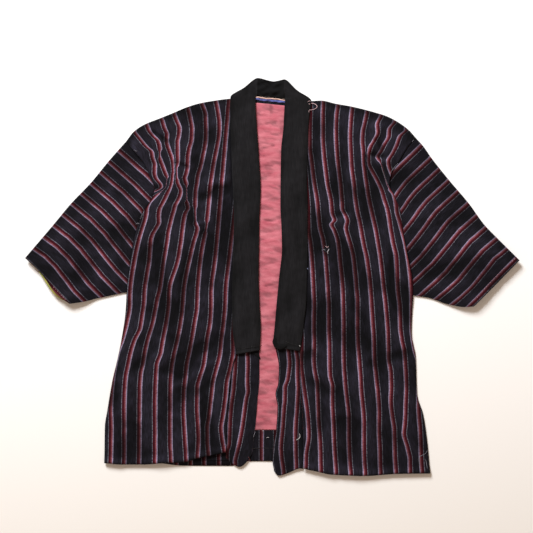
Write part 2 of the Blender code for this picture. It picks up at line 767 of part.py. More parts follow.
def neck_strip(strip):
    """One of the thin strips that run along the back neck seam."""

    def surface(u, v):
        x = neck_strip_span["from"] + (neck_strip_span["to"] - neck_strip_span["from"]) * u
        return x, neck_height(x) - strip["below"] - strip["width"] * v

    return flat_piece("neck_piping_" + strip["colour"], surface, 1, 10, strip["colour"] + " piping")


def cuff_lining():
    """The green sleeve lining where it shows past the left cuff, with the stretch that holds it."""
    cuff = edge_by(left_cuff, "x")

    def surface(u, v):
        share = cuff_lining_span["from"] + (cuff_lining_span["to"] - cuff_lining_span["from"]) * u
        x, y = cuff(share)
        out = cuff_lining_reach * math.sin(math.pi * u) ** 0.5
        step = out - (out + cuff_lining_depth) * v
        return x + sleeve_direction["x"] * step, y + sleeve_direction["y"] * step

    return flat_piece("left_cuff_lining", surface, 2, 12, "green sleeve lining")


left_half = {
    "name": "left",
    "seam": left_seam,
    "side": left_side,
    "shoulder": left_shoulder,
    "hem": left_hem,
    "back_hem": left_back_hem,
    "folds": left_folds,
    "gore_seam": left_gore_seam,
    "front_edge": left_front_edge,
    "gore_hem": left_gore_hem,
    "gore_folds": left_gore_folds,
    "sleeve_fold": left_sleeve_fold,
    "sleeve_seam": left_sleeve_seam,
    "cuff": left_cuff,
    "sleeve_folds": left_sleeve_folds,
}
right_half = {
    "name": "right",
    "seam": right_seam,
    "side": right_side,
    "shoulder": right_shoulder,
    "hem": right_hem,
    "back_hem": right_back_hem,
    "folds": right_folds,
    "gore_seam": right_gore_seam,
    "front_edge": right_front_edge,
    "gore_hem": right_gore_hem,
    "gore_folds": right_gore_folds,
    "sleeve_fold": right_sleeve_fold,
    "sleeve_seam": right_sleeve_seam,
    "cuff": right_cuff,
    "sleeve_folds": right_sleeve_folds,
}

clear_scene()
for half in (left_half, right_half):
    body_half(half)
    gore(half)
    sleeve(half)
collar()
lining = across_back(lining_top, lining_bottom)
facing = across_back(lambda x: lining_bottom - gap, facing_bottom)
flat_piece("back_lining", lining, lining_rows, back_columns, "pink lining")
flat_piece("hem_facing", facing, 2, back_columns, "striped cotton")
for strip in neck_strips:
    neck_strip(strip)
cuff_lining()
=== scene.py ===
# A lined noragi, the Japanese farm work jacket, laid out flat on a pale floor and seen from above.
# Outlines are in millimetres: x to the viewer's right, y towards the collar, from the jacket's middle.
# Stripe paths and the small marks are in pixels of the photograph and go through fromPhoto.

import math

import bmesh
import bpy
import numpy as np
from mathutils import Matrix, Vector
from mathutils.bvhtree import BVHTree


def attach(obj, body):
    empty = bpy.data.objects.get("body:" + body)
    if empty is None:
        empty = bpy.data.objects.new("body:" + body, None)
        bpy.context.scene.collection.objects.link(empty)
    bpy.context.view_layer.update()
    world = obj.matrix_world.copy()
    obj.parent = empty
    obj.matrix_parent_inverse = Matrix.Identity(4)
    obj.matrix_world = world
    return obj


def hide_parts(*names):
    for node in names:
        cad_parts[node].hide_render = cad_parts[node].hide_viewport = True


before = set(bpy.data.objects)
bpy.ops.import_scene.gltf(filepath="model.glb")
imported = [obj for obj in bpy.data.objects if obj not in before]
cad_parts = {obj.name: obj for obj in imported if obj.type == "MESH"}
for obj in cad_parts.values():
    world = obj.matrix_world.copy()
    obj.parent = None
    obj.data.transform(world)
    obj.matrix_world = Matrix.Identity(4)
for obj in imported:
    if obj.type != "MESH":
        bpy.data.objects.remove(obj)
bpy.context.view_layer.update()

# Sizes

mm = 0.001
middle = {"x": 1.6, "y": -0.4}  # the jacket's own middle in the tables
photo = {"mmPerPixel": 2.1, "middleX": 271.5, "middleY": 276.5}
camera = {"height": 3.0, "x": -0.0121, "y": 0.0214, "span": 1.1193, "sensor": 36.0}

cloth = {"wall": 1.2, "gap": 0.3, "seamIn": 0.45, "stripePitch": 31.5, "stripeHalfWidth": 0.2}
layers = {"frontTop": 4.0, "cuffTop": 5.2, "liningUnder": 1.5, "liningWall": 1.0}
pixelPitch = cloth["stripePitch"] / photo["mmPerPixel"]
facingPitch = 14.2  # photo pixels; the facing's stripes lie a little closer
turnSteps = 14  # rows round a doubled edge

# The collar from its left end round the neck to its right end, in millimetres
collarSections = {
    "innerX": [-24.2, -22.5, -25.4, -26.7, -26.2, -25.2, -22.7, -25.6, -30.5, -33, -33.6, -33, -31, -14,
        0, 13, 26, 27.6, 28, 26.3, 24.8, 20, 18.9, 18.5, 21, 21.8, 16.6, 11.3, 7.1, 3.6, 5.7],
    "innerY": [-154.8, -106, -49.4, 0, 60, 125, 181.7, 240, 311.9, 352, 376.5, 378.8, 379, 377, 375.6,
        374.3, 373, 372.8, 370.8, 340, 311.9, 265, 200, 150, 97.7, 57.8, 5, -49.4, -98, -140, -148.1],
    "outerX": [-74.6, -81.7, -83, -82, -80, -78.8, -80.8, -83.2, -85.5, -87.2, -86, -58, -29, -8.5, 4.5,
        16.5, 27.3, 54, 83.4, 79.6, 77.2, 75.6, 73.8, 75.6, 75.6, 75.6, 74.5, 73.1, 68, 62.5, 59.5],
    "outerY": [-163.2, -106, -49.4, 0, 60, 125, 181.7, 240, 311.9, 352, 376.5, 396, 416.5, 412, 409.5,
        411.5, 413.7, 390.6, 368.6, 340, 311.9, 265, 200, 150, 97.7, 57.8, 5, -49.4, -98, -140, -156.5],
    "under": [4.3, 4.3, 4.3, 4.3, 4.3, 4.3, 4.3, 4.3, 4.3, 4.3, 4.3, 3, 1.6, 0.6, 0.6, 0.6, 1.6, 3, 4.3,
        4.3, 4.3, 4.3, 4.3, 4.3, 4.3, 4.3, 4.3, 4.3, 4.3, 4.3, 4.3],
}
# which rows of it are the shoulders and the ends of the inside that shows at the neck
collarRows = {"leftShoulder": 11, "insideFrom": 12, "insideTo": 16, "rightShoulder": 18}

# Middles of the stripes on the left front, from the side to the collar, in photo pixels.
# Where a stripe sinks into a fold, hidden gives from and to down the photo and the width that is left.
leftStripes = [
    {"x": [134, 140.6, 146.4, 151.8, 152.7, 154.9, 154.7, 155.8, 162, 147, 138, 131, 124, 114, 103, 97],
     "y": [132, 140, 147, 152, 158, 165, 173, 178, 187, 195, 203, 221, 240, 300, 360, 462]},
    {"x": [146.4, 149.1, 154, 158, 159.8, 160.3, 162.5, 165.5, 167, 166, 156.8, 153.2, 149.2, 147, 146.3,
        144.7, 142.5, 139, 134.7, 130.4, 129.8, 127, 121.8, 118.5, 115, 112, 110.8, 111.4, 110.8],
     "y": [124, 131, 137, 141, 148, 159, 165.5, 173.5, 178, 187, 195, 198.6, 203, 208, 214.6, 221.3, 228,
        240, 260, 290, 307, 323, 341.6, 350, 365, 386, 407, 427, 462],
     "hidden": [{"from": 151, "to": 158, "width": 0.4}, {"from": 178, "to": 193, "width": 0.0}]},
    {"x": [160.8, 162, 164.3, 167, 166.5, 167.9, 171, 173.2, 174.1, 172.9, 170.2, 166.6, 163, 159.5,
        158.6, 159, 156.3, 152.8, 151, 149.3, 144.8, 144.2, 142.5, 140.2, 134.4, 130.4, 127.5, 125.8,
        124.7, 124.3, 124.3],
     "y": [118, 120, 128, 135, 140, 147, 155, 162, 171, 178, 186.5, 195.4, 203, 210, 217, 222, 228, 234,
        240, 260, 290, 301.5, 314, 328, 340.5, 354, 368, 377, 393, 416, 462]},
    {"x": [173.6, 176.3, 179.5, 179, 177.7, 177.7, 176.8, 177.3, 179.6, 181.3, 180.4, 178.2, 175.1, 173.8,
        172, 170.2, 168.4, 167.5, 164, 159.7, 157.4, 155.1, 152.8, 148.8, 145.9, 143, 140.7, 139.9, 139.6,
        139],
     "y": [113, 120, 129, 136, 142, 160, 165, 181, 187, 191, 195, 200, 206, 211, 217, 224.5, 232.5, 240,
        260, 290, 299, 311, 323, 336, 347, 363.5, 375, 388, 405, 462],
     "hidden": [{"from": 167, "to": 179, "width": 0.4}]},
    {"x": [187.6, 190.6, 192, 191.5, 189.3, 187.9, 187.5, 185.7, 184.9, 186.3, 187.1, 188, 185.8, 184,
        182.7, 181.3, 178, 169.4, 168.9, 167.7, 166, 163.1, 160.8, 156.8, 155.7, 155.1, 155.1],
     "y": [107, 120, 129, 140, 149, 158, 167, 176, 178, 184, 203, 208, 212.4, 219, 228, 240, 260, 290,
        301.5, 313, 324.4, 339.4, 353, 364.6, 382, 405, 462],
     "hidden": [{"from": 186, "to": 201, "width": 0.1}]},
    {"x": [201.6, 205.5, 206, 200.4, 198.3, 197, 195.6, 195.2, 195.6, 197.4, 196, 194.3, 189.5, 183.8,
        182.9, 180.3, 176.9, 174, 171.7, 170.6, 170.2, 170.2, 171.2],
     "y": [103, 115, 134, 168, 174.5, 183.4, 192.3, 208, 223.6, 228, 234.7, 240, 260, 290, 304, 324.4,
        341.6, 354.3, 368, 382, 405, 439, 462],
     "hidden": [{"from": 208, "to": 222, "width": 0.5}]},
    {"x": [215.7, 218.2, 219.5, 213, 210, 206.7, 204, 200.4, 197.6, 197, 194.7, 192.4, 188.9, 186.7,
        185.5, 183.8, 183.6, 184.4, 185.5, 186.3],
     "y": [100.7, 113.6, 126, 168, 190, 224.5, 238.6, 260, 290, 307, 322, 336, 354, 364.6, 377, 393,
        410.5, 428, 445, 460],
     "hidden": [{"from": 222, "to": 232, "width": 0.5}]},
    {"x": [229, 222, 215, 211.3, 211.1, 210.2, 207.3, 205.6, 203.9, 199.9, 197.3, 197, 197.8, 198.5,
        197.6],
     "y": [99.5, 180, 260, 290, 307, 322, 338, 350, 363.5, 377, 387.6, 405, 422, 437, 455]},
    {"x": [245, 236, 229, 225.7, 225.1, 223.4, 221.1, 219.9, 215.9, 213, 211.3, 209, 207.3, 207.3, 208.5],
     "y": [95, 200, 260, 290, 307, 324.4, 341.6, 354, 370, 382, 396, 416, 428, 439, 454]},
    {"x": [260, 242, 233.1, 233.1, 232, 229.7, 226.8, 225.1, 222.8, 221.1, 222.2, 224.5],
     "y": [95, 260, 338, 352, 359, 370, 382, 399, 416, 428, 439, 451]},
]
leftGoreStripes = [
    {"x": [236, 235.6, 235, 234.3, 233.6, 232.5, 231, 230, 229.3, 227],
     "y": [353, 362, 371, 380, 389, 398, 410, 425, 443, 451]},
    {"x": [247.6, 248, 247.6, 248, 246.5, 244, 242.3, 239.4, 235.4],
     "y": [353, 367, 382, 391, 399, 416, 428, 443, 460]},
    {"x": [262, 262, 261.7, 259.9, 258.5, 256.5, 254.5],
     "y": [353, 366, 380, 400, 420, 436, 454]},
]

# The same on the right front, from the collar to the side.
rightStripes = [
    {"x": [292, 295, 298, 301.7, 301.7, 301.3, 303.3, 305.7, 308.2, 308.8, 306.4, 305.7],
     "y": [100, 175, 300, 338.5, 350.6, 362.7, 382, 399, 420.9, 435.4, 453.6, 469.3]},
    {"x": [300, 306, 308.2, 308.7, 310.3, 311.8, 313.6, 314.2, 313.9, 314.2, 313.9, 314.8, 317.3, 317.9,
        318.5, 319.7, 320.6, 320.9],
     "y": [100, 180, 210.7, 231.8, 242.3, 257, 290, 305.8, 326.4, 342, 357.9, 370, 384.5, 399, 418.4,
        435.4, 453.6, 469.3]},
    {"x": [310.3, 309.7, 309.7, 311.8, 314.5, 317.1, 318.7, 319.7, 322.9, 325.5, 327.9, 328.8, 328.8,
        329.4, 329.6, 330, 332.4, 332.4, 333.6, 334.2, 335.4, 336],
     "y": [110.8, 135, 145.5, 163.4, 184.4, 200.2, 216, 226.5, 239, 257, 290, 308, 326.4, 344.5, 362.7,
        374.8, 386.9, 405, 423.3, 441.5, 459.6, 470.5]},
    {"x": [323.4, 322.9, 322.9, 323.9, 325.5, 327.6, 330.8, 332.3, 334.5, 331.5, 334.5, 338.1, 339.7,
        342.7, 343.3, 343.7, 343.7, 343.9, 345.1, 346.9, 348.8, 348.8, 349.4, 350.6],
     "y": [101.3, 116, 137, 153.9, 168.6, 184.4, 200.2, 213.9, 220.2, 224.4, 230.7, 242.3, 257, 290, 308,
        326.4, 344.5, 362.7, 380.9, 399, 417.2, 435.4, 453.6, 471.8]},
    {"x": [338.1, 336.6, 336, 336.6, 337.6, 339.2, 340.8, 341.8, 342.3, 345.5, 347.1, 346, 348.1, 351.3,
        353.4, 356.6, 357.5, 357.5, 357.8, 359, 360.3, 361.5, 363.3, 363.9, 363.9, 365.1],
     "y": [105, 116, 131.8, 147.6, 160.2, 172.9, 187.6, 200.2, 208.6, 216, 221.3, 227.6, 237, 247.6, 257,
        290, 302, 320.3, 338.5, 356.6, 374.8, 393, 411, 423.3, 447.5, 471.8]},
    {"x": [352.3, 350.8, 350.2, 350.8, 351.8, 353.9, 355.5, 357.1, 360.2, 361.8, 363.9, 366.5, 370.6,
        371.5, 372.8, 374, 374.4, 376, 377.8, 379, 379, 379.7, 380.5],
     "y": [108.7, 121.3, 137, 152.9, 168.6, 184.4, 200.2, 210.7, 224.4, 234.9, 245.4, 257, 290, 305.8,
        324, 342, 356.6, 374.8, 393, 411, 429.3, 447.5, 471.8]},
    {"x": [367.1, 364.4, 362.9, 362.3, 363.4, 363.9, 365, 366.5, 369.2, 371.8, 375, 377.6, 380.2, 383.9,
        385.7, 387.3, 388.1, 388.7, 390.6, 391.2, 390.6, 392.4, 394.2, 394.6, 395.8],
     "y": [112.9, 124.5, 131.8, 142.3, 152.9, 163.4, 173.9, 184.4, 200.2, 212.8, 226.5, 242.3, 257, 290,
        305.8, 324, 338.5, 357.9, 372.4, 386.9, 399, 417.2, 429.3, 447.5, 471.8]},
    {"x": [381.3, 377.1, 377.6, 374.4, 370.2, 368.1, 368.1, 371.8, 376.5, 381.3, 384.4, 387.6, 390.2,
        392.8, 396, 397.8, 399.7, 400.3, 402, 404.5, 405.5, 406.3, 405.7, 405.1, 403.9, 407.5, 409.9,
        409.9],
     "y": [116, 125.5, 132.9, 140.2, 147.6, 156, 162.3, 170.7, 179.2, 189.7, 200.2, 210.7, 226.5, 242.3,
        257, 290, 305.8, 326.4, 340.9, 353, 368.8, 386.9, 399, 418.4, 433, 447.5, 459.6, 470.5]},
    {"x": [394.9, 389.2, 388.6, 384.4, 380.7, 377.6, 379.2, 382, 387, 390, 393.9, 396, 396.5, 399.2, 406,
        410.5, 411.5, 411.5, 413, 414.8, 418, 419, 418.5, 418.4, 419, 420.3, 420.9, 422],
     "y": [122.4, 129.7, 137, 144.4, 151.8, 157, 161, 167, 184.4, 190, 195, 205.5, 211.8, 221.3, 248, 281,
        300, 326, 341, 350.6, 362, 378, 394, 405, 417, 435, 454, 472],
     "hidden": [{"from": 162, "to": 189, "width": 0.25}]},
    {"x": [406.4, 400.2, 396, 392.3, 388.1, 392, 400, 408, 416, 422, 427, 431, 434, 436],
     "y": [131, 136, 146.6, 154, 161.3, 175, 190, 220, 260, 300, 340, 380, 420, 472]},
]
rightGoreStripes = [
    {"x": [273.7, 277.5, 276.8, 274.1, 276.1, 274.8, 272, 271, 272.8],
     "y": [343, 367, 383, 393.6, 406, 428, 447, 461, 471]},
    {"x": [285.5, 288.2, 289.1, 289.6, 289.1, 287.8, 285, 285, 284.2, 282.5, 281, 283.6],
     "y": [346.5, 349, 357, 363.5, 370, 379, 388, 400, 407, 430, 447, 471]},
    {"x": [296.3, 297.6, 297.6, 298, 297.6, 295.6, 296.3],
     "y": [351.4, 361, 374.6, 388, 400, 434, 466]},
]

# Where the sleeves' straight stripes lie, counted across them in photo pixels, armhole to cuff.
leftSleeveStripes = {
    "acrossX": -0.721,
    "acrossY": 0.693,
    "atFold": [18.2, 33.4, 46.5, 61, 75.1, 89, 103, 117, 131.9, 147.1, 160.8],
    "atSeam": [18.2, 33.4, 46.5, 61, 75.1, 89, 103, 117, 131.9, 147.1, 160.8],
    "bowAt": [0, 0.2, 0.4, 0.6, 0.8, 1.0],
    "bow": [0, -2.9, -3.2, -1.6, 0.2, 0],
    "towardsCuff": 1,
}
rightSleeveStripes = {
    "acrossX": 0.714,
    "acrossY": 0.7,
    "atFold": [403.1, 418.7, 432.2, 447.1, 461.2, 476.9, 491.6, 506.3, 521.7, 535.9, 548.8],
    "atSeam": [412.2, 424.2, 436.6, 450.2, 464.1, 478.5, 491.4, 507, 520.9, 536, 548.8],
    "bowAt": [0, 0.2, 0.45, 0.7, 0.88, 1.0],
    "bow": [0, -1.9, 0, 2.0, 1.2, 0],
    "towardsCuff": -1,
}
# The facing's stripes show under the raised left hem and between the fronts.
facingStripes = [{"x": [x], "y": [455]} for x in (176.2, 190.4, 204, 218.8, 233, 247.2, 261.4, 275.6)]

# How far folds lift the cloth, in millimetres: x and y of one end, x and y of the other, width, height.
# A height below nought is a trough. A seventh number is the width on the fold's other side.
leftFolds = [
    (-290, 286, -247, 205, 12, 3.4), (-236, 320, -228, 186, 13, 2.6), (-196, 330, -199, 165, 13, 3.0),
    (-166, 330, -186, 196, 12, 2.2), (-232, 175, -268, 60, 14, 3.0), (-128, 290, -132, 100, 15, 2.4),
    (-200, 120, -218, -60, 16, 1.8), (-286, -80, -322, -330, 16, 2.2),
    (-236, -120, -262, -370, 17, 2.4), (-150, -140, -170, -360, 16, 2.0),
    (-104, -160, -112, -350, 9, 2.4), (-300, -205, -232, -140, 11, -2.2),
    (-255, -215, -125, -138, 12, -2.6), (-165, -250, -95, -205, 11, -2.2),
    (-215, -240, -105, -172, 9, 1.6), (-138, -245, -140, -362, 8, -2.2),
    (-252, 306, -214, 281, 7, -2.8, 3.5), (-246, 300, -236, 236, 3.5, 2.4, 8),
    (-206, 240, -172, 228, 8, -3.4, 4), (-198, 250, -178, 150, 9, 2.6, 4),
    (-180, 164, -156, 100, 10, -2.6, 5), (-218, 148, -188, 156, 6, 2.0),
    (-152, 165, -78, 186, 10, -3.0), (-150, 190, -80, 203, 8, 1.6), (-160, 108, -132, 116, 7, 2.4, 4),
    (-148, 96, -118, 60, 9, -2.4), (-262, 190, -232, 184, 5, -2.4), (-232, 40, -224, -70, 9, -2.2),
    (-176, 60, -190, -80, 8, -1.8),
]
rightFolds = [
    (226, 325, 203, 250, 12, 3.2), (262, 300, 234, 232, 12, 3.4), (176, 330, 168, 190, 14, 2.4),
    (236, 190, 274, 20, 13, 2.8), (126, 108, 172, 128, 12, 2.4), (205, 110, 232, -80, 17, 2.0),
    (118, 280, 112, 120, 14, 1.8), (254, -120, 286, -370, 16, 2.2), (190, -170, 206, -390, 17, 2.4),
    (128, -150, 116, -380, 15, 2.0), (76, -175, 84, -370, 9, 2.2), (196, -188, 292, -158, 10, -2.6),
    (58, -172, 92, -158, 9, -2.0), (66, -215, 140, -246, 11, -2.0), (130, -300, 190, -312, 11, -2.0),
    (215, 290, 236, 262, 8, -2.6), (206, 256, 246, 248, 4, -3.4, 9), (205, 242, 240, 234, 8, 1.8),
    (198, 266, 208, 196, 5, -2.6), (128, 122, 166, 138, 8, -2.2), (136, 100, 150, 60, 8, -2.0),
    (92, 150, 120, 40, 9, -1.8), (168, 60, 178, -90, 9, -2.0), (250, 60, 262, -80, 8, -2.0),
]

leftHalf = {
    "name": "left",
    "seam": {
        "y": [282.5, 259, 232, 207, 184, 167, 133, 109, 77, 35, -5, -33],
        "x": [-305.6, -284.6, -263.6, -254, -245.5, -249, -270, -279.5, -288, -295, -300.5, -303.5],
    },
    "side": {
        "y": [-33, -77, -133, -175, -217, -282, -316, -391],
        "x": [-303.5, -306.6, -315, -323.5, -333.5, -344.6, -349.7, -350.7],
    },
    "shoulder": {
        "x": [-305.6, -288, -263.6, -236, -207.7, -179.6, -152.3, -117.2, -87.6, -43],
        "y": [282.5, 304.7, 320.2, 331, 342.5, 354.3, 362.9, 369.2, 372.8, 374.5],
    },
    "hem": {
        "x": [-350.7, -310.8, -268.6, -226.4, -187.1, -156.5, -128.1, -96],
        "y": [-391, -393.8, -393.8, -391, -389.5, -381.2, -375.5, -368.5],
    },
    "backHem": {
        "x": [-350.7, -250, -185, -83, -52, 0],
        "y": [-391, -391, -397, -397.5, -388, -387.5],
    },
    "folds": leftFolds,
    "stripes": leftStripes,
    "bareAbove": 196,  # photo row
    "towards": 1,
    "backCount": 9.7,  # stripes counted at the centre back seam
    "goreSeam": {
        "y": [374.5, 267, 160, 55, -49, -163, -180, -218, -255, -322, -368.5],
        "x": [-43, -46, -51, -59, -67, -74.6, -80.2, -86.7, -89.7, -93.9, -96],
    },
    "frontEdge": {
        "y": [160, 55, -49, -160, -217, -259, -302, -336, -372.8],
        "x": [-29, -27, -26.5, -25.4, -25.4, -29.6, -32.6, -36.8, -41],
    },
    "goreHem": {
        "x": [-94, -82.9, -66.2, -57.8, -41],
        "y": [-381, -391, -399.4, -395.2, -372.8],
    },
    "goreFolds": [(-60, -180, -66, -370, 12, 1.8)],
    "goreStripes": leftGoreStripes,
    "sleeveFold": {
        "x": [-515.6, -458.9, -421.1, -379.1, -339.2, -305.6],
        "y": [38.9, 106.1, 152.3, 196.4, 244.7, 282.5],
    },
    "sleeveSeam": {
        "x": [-422.3, -394.2, -367.5, -341.3, -303.5],
        "y": [-57.1, -53.1, -46.4, -41, -33],
    },
    "cuff": {
        "x": [-515.6, -482.6, -450.5, -422.3],
        "y": [38.9, 7.4, -35.7, -57.1],
    },
    "sleeveFolds": [
        (-452, 82, -330, 30, 20, 1.6), (-360, 190, -285, 110, 18, 1.8),
    ],
    "sleeveStripes": leftSleeveStripes,
    "seed": 3,
}
rightHalf = {
    "name": "right",
    "seam": {
        "y": [288, 276, 239, 211, 191, 170, 129, 96, 53, 25, -9, -40],
        "x": [305, 289, 266, 249.5, 246.8, 257.3, 272, 276.2, 283.1, 289.4, 295.5, 297.2],
    },
    "side": {
        "y": [-40, -119, -167, -247, -289, -345, -412.6],
        "x": [297.2, 294, 302.4, 305.6, 318.2, 326.6, 332.9],
    },
    "shoulder": {
        "x": [305, 286.6, 261.5, 241.1, 225.8, 167.4, 134.2, 103.7, 85.9, 45],
        "y": [288, 308.3, 326.1, 336.4, 341.5, 356.6, 362.5, 369, 368.1, 370],
    },
    "hem": {
        "x": [332.9, 264.4, 194.3, 126.6, 92.8, 66.2],
        "y": [-412.6, -413.5, -417.7, -415, -408, -402.4],
    },
    "backHem": {
        "x": [332.9, 200, 60, 0],
        "y": [-412.6, -408, -392, -387.5],
    },
    "folds": rightFolds,
    "stripes": rightStripes,
    "bareAbove": 152,  # photo row
    "towards": -1,
    "backCount": 0.0,
    "goreSeam": {
        "y": [370, 267, 160, 55, -49, -158, -217, -270, -331, -402.4],
        "x": [45, 47, 50, 53, 56, 59.6, 61.6, 64, 66.2, 66.2],
    },
    "frontEdge": {
        "y": [160, 55, -49, -140, -190, -224, -246, -272, -319, -359, -387, -409],
        "x": [21.5, 23.5, 12.5, 7.5, 15.5, 14.1, 8.4, 12.6, 9.9, 4.2, 2.3, 5.7],
    },
    "goreHem": {
        "x": [64, 59, 33.8, 14.1, 5.7],
        "y": [-403.5, -402.4, -412.2, -417.7, -409],
    },
    "goreFolds": [(42, -180, 40, -385, 12, 1.8)],
    "goreStripes": rightGoreStripes,
    "sleeveFold": {
        "x": [518.9, 472.7, 445, 414.1, 371.1, 335.6, 317.1, 305],
        "y": [34.2, 80.4, 109.8, 152.9, 203.7, 248.4, 274.7, 288],
    },
    "sleeveSeam": {
        "x": [423.2, 404.3, 367.9, 330.8, 297.2],
        "y": [-62.8, -64.1, -57.8, -45.2, -40],
    },
    "cuff": {
        "x": [518.9, 471, 423.2],
        "y": [34.2, -15, -62.8],
    },
    "sleeveFolds": [
        (452, 78, 332, 24, 20, 1.6), (362, 186, 290, 106, 18, 1.8),
    ],
    "sleeveStripes": rightSleeveStripes,
    "seed": 8,
}


# Reading curves and surfaces from the tables

def fromPhoto(x, y):
    # photo pixels to millimetres on the table
    return (
        (np.asarray(x, float) - photo["middleX"]) * photo["mmPerPixel"],
        (photo["middleY"] - np.asarray(y, float)) * photo["mmPerPixel"],
    )


def toPhoto(x, y):
    return x / photo["mmPerPixel"] + photo["middleX"], photo["middleY"] - y / photo["mmPerPixel"]


def grid(columns, rows):
    return np.meshgrid(np.linspace(0, 1, columns), np.linspace(0, 1, rows))


def readCurve(places, values, at):
    # a smooth curve through the rows that never overshoots them, level beyond its ends
    order = np.argsort(places)
    places = np.asarray(places, float)[order]
    values = np.asarray(values, float)[order]
    if len(places) == 1:
        return np.full(np.shape(at), values[0])
    slopes = np.diff(values) / np.diff(places)
    tangents = np.zeros_like(values)
    tangents[0] = slopes[0]
    tangents[-1] = slopes[-1]
    product = slopes[:-1] * slopes[1:]
    total = np.where(product > 0, slopes[:-1] + slopes[1:], 1.0)
    tangents[1:-1] = np.where(product > 0, 2 * product / total, 0.0)
    at = np.clip(at, places[0], places[-1])
    i = np.clip(np.searchsorted(places, at, side="right") - 1, 0, len(places) - 2)
    span = places[i + 1] - places[i]
    t = (at - places[i]) / span
    eased = values[i] + (values[i + 1] - values[i]) * t * t * (3 - 2 * t)
    return eased + tangents[i] * span * (t - 2 * t * t + t**3) + tangents[i + 1] * span * (t**3 - t * t)


def edgeOf(table, along):
    # an edge as a function of 0 to 1, from the table's first row to its last
    other = "x" if along == "y" else "y"

    def point(share):
        at = table[along][0] + (table[along][-1] - table[along][0]) * np.asarray(share, float)
        value = readCurve(table[along], table[other], at)
        return np.stack([value, at], -1) if along == "y" else np.stack([at, value], -1)

    return point


def patch(top, bottom, left, right):
    # a surface between four edges: u from left to right and v from top to bottom
    def point(u, v):
        a = top(u)
        b = bottom(u)
        c = left(v)
        d = right(v)
        u = np.asarray(u, float)[..., None]
        v = np.asarray(v, float)[..., None]
        start = (1 - v) * top(0.0) + v * bottom(0.0)
        end = (1 - v) * top(1.0) + v * bottom(1.0)
        return (1 - v) * a + v * b + (1 - u) * c + u * d - ((1 - u) * start + u * end)

    return point


def ease(t):
    t = np.clip(t, 0.0, 1.0)
    return t * t * (3 - 2 * t)


def foldHeight(folds, x, y):
    lift = np.zeros(np.shape(x))
    for startX, startY, endX, endY, width, height, *other in folds:
        runX = endX - startX
        runY = endY - startY
        length = math.hypot(runX, runY)
        along = ((x - startX) * runX + (y - startY) * runY) / length
        aside = ((x - startX) * runY - (y - startY) * runX) / length
        ends = ease(along / (0.3 * length) + 0.3) * ease((length - along) / (0.3 * length) + 0.3)
        wide = np.where(aside > 0, width, other[0] if other else width)
        lift += height * ends * np.exp(-((aside / wide) ** 2))
    return lift


def softWaves(x, y, seed, longest, height):
    # uneven low swells, the same each run
    chance = np.random.default_rng(seed)
    swell = np.zeros(np.shape(x))
    for octave in range(9):
        size = longest / 1.35**octave
        angle = chance.uniform(0, math.pi)
        shift = chance.uniform(0, 2 * math.pi)
        swell += size * np.sin((x * math.cos(angle) + y * math.sin(angle)) * 2 * math.pi / size + shift)
    return height * swell / (longest * 1.6)


# Which stripe a place lies on: whole numbers at the middles of the stripes

def stripeWidth(guide, y):
    width = np.ones(np.shape(y))
    for place in guide.get("hidden", []):
        inside = ease((y - place["from"]) / 4 + 0.5) * ease((place["to"] - y) / 4 + 0.5)
        width = width - (1 - place["width"]) * inside
    return width


def stripeCount(guides, x, y, pitch):
    # a stripe keeps its width, and the ground beside it takes up what the folds take away
    middles = [readCurve(guide["y"], guide["x"], y) for guide in guides]
    for i in range(1, len(middles)):
        middles[i] = np.maximum(middles[i], middles[i - 1] + 0.6)
    half = cloth["stripeHalfWidth"]
    knotsX = []
    knotsU = []
    for i, guide in enumerate(guides):
        wide = half * pitch * stripeWidth(guide, y)
        before = middles[i] - middles[i - 1] if i else pitch
        after = middles[i + 1] - middles[i] if i + 1 < len(middles) else pitch
        knotsX.append(middles[i] - np.minimum(wide, 0.45 * before))
        knotsU.append(i - half)
        knotsX.append(middles[i] + np.minimum(wide, 0.45 * after))
        knotsU.append(i + half)
    count = knotsU[0] + np.minimum(x - knotsX[0], 0) / pitch + np.maximum(x - knotsX[-1], 0) / pitch
    for i in range(len(knotsX) - 1):
        span = np.maximum(knotsX[i + 1] - knotsX[i], 1e-3)
        count = count + np.clip((x - knotsX[i]) / span, 0, 1) * (knotsU[i + 1] - knotsU[i])
    return count


# Meshes

def newObject(name, data):
    made = bpy.data.objects.new(name, data)
    bpy.context.scene.collection.objects.link(made)
    return made


def meshFrom(name, points, faces, uv, material, relief=None):
    data = bpy.data.meshes.new(name)
    place = np.array(points, float).reshape(-1, 3)
    place[:, 0] -= middle["x"]
    place[:, 1] -= middle["y"]
    data.from_pydata((place * mm).tolist(), [], faces)
    work = bmesh.new()
    work.from_mesh(data)
    bmesh.ops.recalc_face_normals(work, faces=work.faces)
    work.to_mesh(data)
    work.free()
    if uv is not None:
        layer = data.uv_layers.new(name="cloth")
        loops = np.empty(len(data.loops), np.int32)
        data.loops.foreach_get("vertex_index", loops)
        layer.data.foreach_set("uv", np.asarray(uv, float).reshape(-1, 2)[loops].ravel())
    if relief is not None:
        depth = data.attributes.new("relief", "FLOAT", "POINT")
        depth.data.foreach_set("value", np.asarray(relief, np.float32).ravel())
    data.shade_smooth()
    data.materials.append(material)
    return newObject(name, data)


